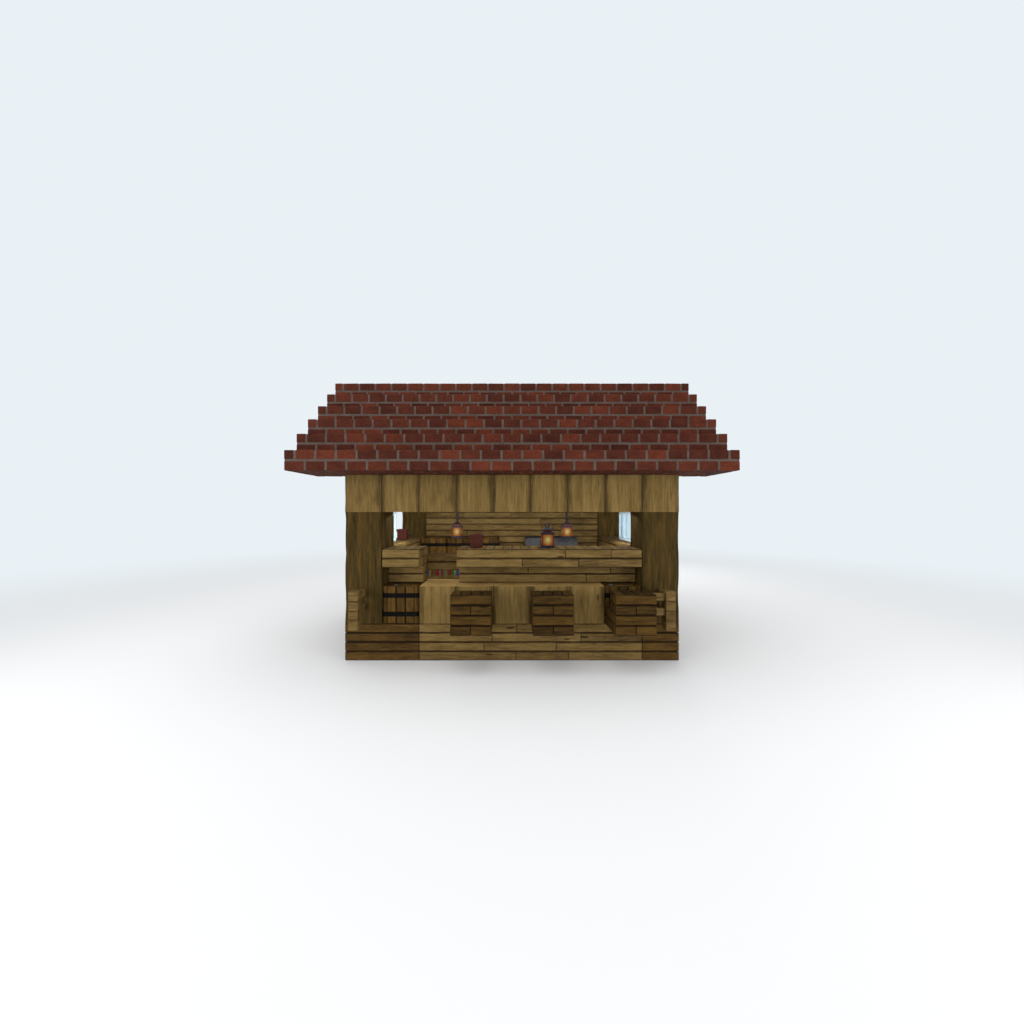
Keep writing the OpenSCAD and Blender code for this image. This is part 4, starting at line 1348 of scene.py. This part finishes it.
def bookcase():
    low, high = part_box("bookcase")
    spots, width, height = bays()
    build = Build(161)
    depth, tall = high.y - low.y, high.z - low.z
    shelves = ((low.z, CASE_T, depth, 4), (low.z + CASE_T + height, SHELF_T, BAY_DEPTH, 2),
               (high.z - CASE_T, CASE_T, depth, 4))
    for spot in spots[::2]:
        for x in (spot.x, spot.x + width + CASE_T):
            build.block((x, low.y, low.z), Y, -X, (depth, CASE_T - 0.001, tall), CASE_BEVEL)
        for z, thick, reach, rows in shelves:
            for j in range(rows):
                corner = (spot.x, low.y + j * reach / rows, z)
                build.block(corner, X, Y, (width, reach / rows - END_SEAM, thick), CASE_BEVEL)
        board_face(build, (spot.x, low.y + BAY_DEPTH, low.z), X, Z, width, tall, BACK_BOARD, BACK_T)
    build.finish("bookcase_boards", [OAK_MAT], "oak_boards", "bookcase")


def book(build, corner, width, height, depth, colour):
    """A closed book: two covers and a rounded, ribbed spine round its pages."""
    pages = (width - 2 * COVER, depth - 0.008, height - 0.006)
    build.block(corner + Vector((COVER, 0.006, 0.003)), X, Y, pages, 0.001, PAPER_TONE, wobble=0.0)
    for x in (0, width - COVER):
        cover = (COVER, depth - 0.003, height)
        build.block(corner + Vector((x, 0.003, 0)), X, Y, cover, 0.001, colour, wobble=0.0)
    ribs = [(0.0, 0.6), (0.02, 1.0)]
    for place in (0.2, 0.5, 0.8):
        ribs += [(place - 0.03, 1.0), (place - 0.02, 1.35), (place + 0.02, 1.35), (place + 0.03, 1.0)]
    ribs += [(0.98, 1.0), (1.0, 0.6)]
    turn = [math.pi * i / 8 for i in range(9)]
    rings = []
    for share, swell in ribs:
        arc = [(width / 2 * (1 - math.cos(t)), 0.007 - 0.005 * swell * math.sin(t)) for t in turn]
        spots = arc + [(width, 0.009), (0, 0.009)]
        rings.append([corner + Vector((x, y, share * height)) for x, y in spots])
    build.loft(rings, colour)


def books():
    low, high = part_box("books")
    spots, width, height = bays()
    build = Build(162)
    rnd = build.random
    depth = high.y - low.y - 0.015
    pitch = (width - 2 * BOOK_ROOM) / BOOK_COUNT
    for spot in spots:
        for i in range(BOOK_COUNT):
            x = spot.x + BOOK_ROOM + i * pitch
            tall = height * (TALLEST - BOOK_STEP * ((i * 3) % 4))
            for part in [pitch] if rnd.random() < 0.4 else [pitch * 0.52, pitch * 0.48]:
                colour = (rnd.randrange(CLOTH_COUNT) + 0.5) / len(BOOK_CLOTHS)
                corner = Vector((x + BOOK_GAP, low.y + rnd.uniform(0, BOOK_SHIFT), spot.z))
                book(build, corner, part - 2 * BOOK_GAP, tall - rnd.uniform(0, BOOK_SHIFT), depth, colour)
                x += part
    build.finish("books_in_rows", [BOOK_MAT], "books", "books")


def stones():
    low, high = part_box("stone_blocks")
    build = Build(163)
    width = (high.x - low.x - STONE_GAP) / STONE_COUNT
    rows = round((high.z - low.z) / STONE_COURSE)
    for i in range(STONE_COUNT):
        x = low.x + i * (width + STONE_GAP)
        for j in range(rows):
            z0 = low.z + j * STONE_COURSE
            a = (x, low.y, z0 + (STONE_GAP / 2 if j else 0))
            b = (x + width, high.y, z0 + STONE_COURSE - (STONE_GAP / 2 if j < rows - 1 else 0))
            tone = 0.15 if j == rows - 1 else build.random.uniform(-0.15, 0.1)
            log(build, a, b, STONE_CORNER, stone_depth, rise=0.03, tone=tone, end_kind=0)
    build.finish("stone_courses", [STONE_MAT], "stone", "stone_blocks")


bookcase()
books()
stones()

# The camera, at the photograph's place: level, with a field of view of 110 degrees

SENSOR = 36.0
VIEW_ANGLE = math.radians(110.0)
CAMERA_PLACE = (0.0, -7.584, 2.4)


def add_camera():
    data = bpy.data.cameras.new("camera")
    data.sensor_width = SENSOR
    data.lens = SENSOR / 2 / math.tan(VIEW_ANGLE / 2)
    data.clip_end = 200.0
    camera = bpy.data.objects.new("camera", data)
    camera.location = CAMERA_PLACE
    camera.rotation_euler = (math.radians(90.0), 0.0, 0.0)
    bpy.context.scene.collection.objects.link(camera)
    bpy.context.scene.camera = camera


# The studio: each light's place, target, two sides and power

FLOOR_REACH = 60.0
FLOOR_FADE = (5.0, 22.0)
WORLD_STRENGTH = 0.92
LIGHTS = {
    "front light": ((-0.8, -11.0, 2.9), (0, 0, 1.3), (12.0, 4.0), 125.0),
    "left light": ((-8.5, -8.0, 2.5), (0, -1.6, 1.2), (3.0, 4.0), 320.0),
    "right light": ((8.5, -8.0, 2.5), (0, -1.6, 1.2), (3.0, 4.0), 320.0),
    "top light": ((-2.0, -3.0, 10.0), (0, 0, 3.0), (9.0, 7.0), 350.0),
    "back light": ((3.0, 10.0, 6.0), (0, 0, 2.0), (8.0, 5.0), 380.0),
    "inside light": ((0.0, -0.85, 2.37), (0, 1.2, 1.0), (4.6, 0.5), 116.0),
    "counter light": ((0.0, -1.15, 2.37), (0, -0.9, 0.9), (4.6, 0.9), 26.0),
}


def area_light(name, place, target, size, power):
    data = bpy.data.lights.new(name, "AREA")
    data.shape = "RECTANGLE"
    data.size, data.size_y = size
    data.energy = power
    light = bpy.data.objects.new(name, data)
    light.location = place
    light.rotation_euler = (Vector(target) - Vector(place)).to_track_quat("-Z", "Y").to_euler()
    bpy.context.scene.collection.objects.link(light)


def add_floor():
    """A wide pale floor that fades into the surround."""
    mesh = bpy.data.meshes.new("floor")
    corners = ((-1, -1), (1, -1), (1, 1), (-1, 1))
    mesh.from_pydata([(x * FLOOR_REACH, y * FLOOR_REACH, 0) for x, y in corners], [], [(0, 1, 2, 3)])
    floor = bpy.data.objects.new("floor", mesh)
    floor.location.z = -0.001
    bpy.context.scene.collection.objects.link(floor)
    material, graph = new_material("studio floor")
    diffuse = graph.node("BsdfDiffuse", Color=STUDIO_FLOOR)
    glow = graph.node("Emission", Color=SURROUND)
    place = graph.node("NewGeometry").outputs["Position"]
    fade = graph.span(graph.length(place), *FLOOR_FADE, kind="SMOOTHSTEP")
    graph.show(graph.mix(fade, diffuse, glow))
    mesh.materials.append(material)


def add_world():
    """Even white light, behind which the camera, metal and glass see the pale surround."""
    world = bpy.data.worlds.new("surround")
    bpy.context.scene.world = world
    graph = Graph(world)
    seen = graph.node("Background", Color=SURROUND)
    light = graph.node("Background", Color=WHITE, Strength=WORLD_STRENGTH)
    path = graph.node("LightPath").outputs
    direct = graph.math("MAXIMUM", path["Is Camera Ray"], path["Is Glossy Ray"])
    direct = graph.math("MAXIMUM", direct, path["Is Transmission Ray"])
    graph.show(graph.mix(direct, light, seen), "OutputWorld")


add_camera()
add_floor()
add_world()
for name, settings in LIGHTS.items():
    area_light(name, *settings)
bpy.context.scene.view_settings.view_transform = "Standard"
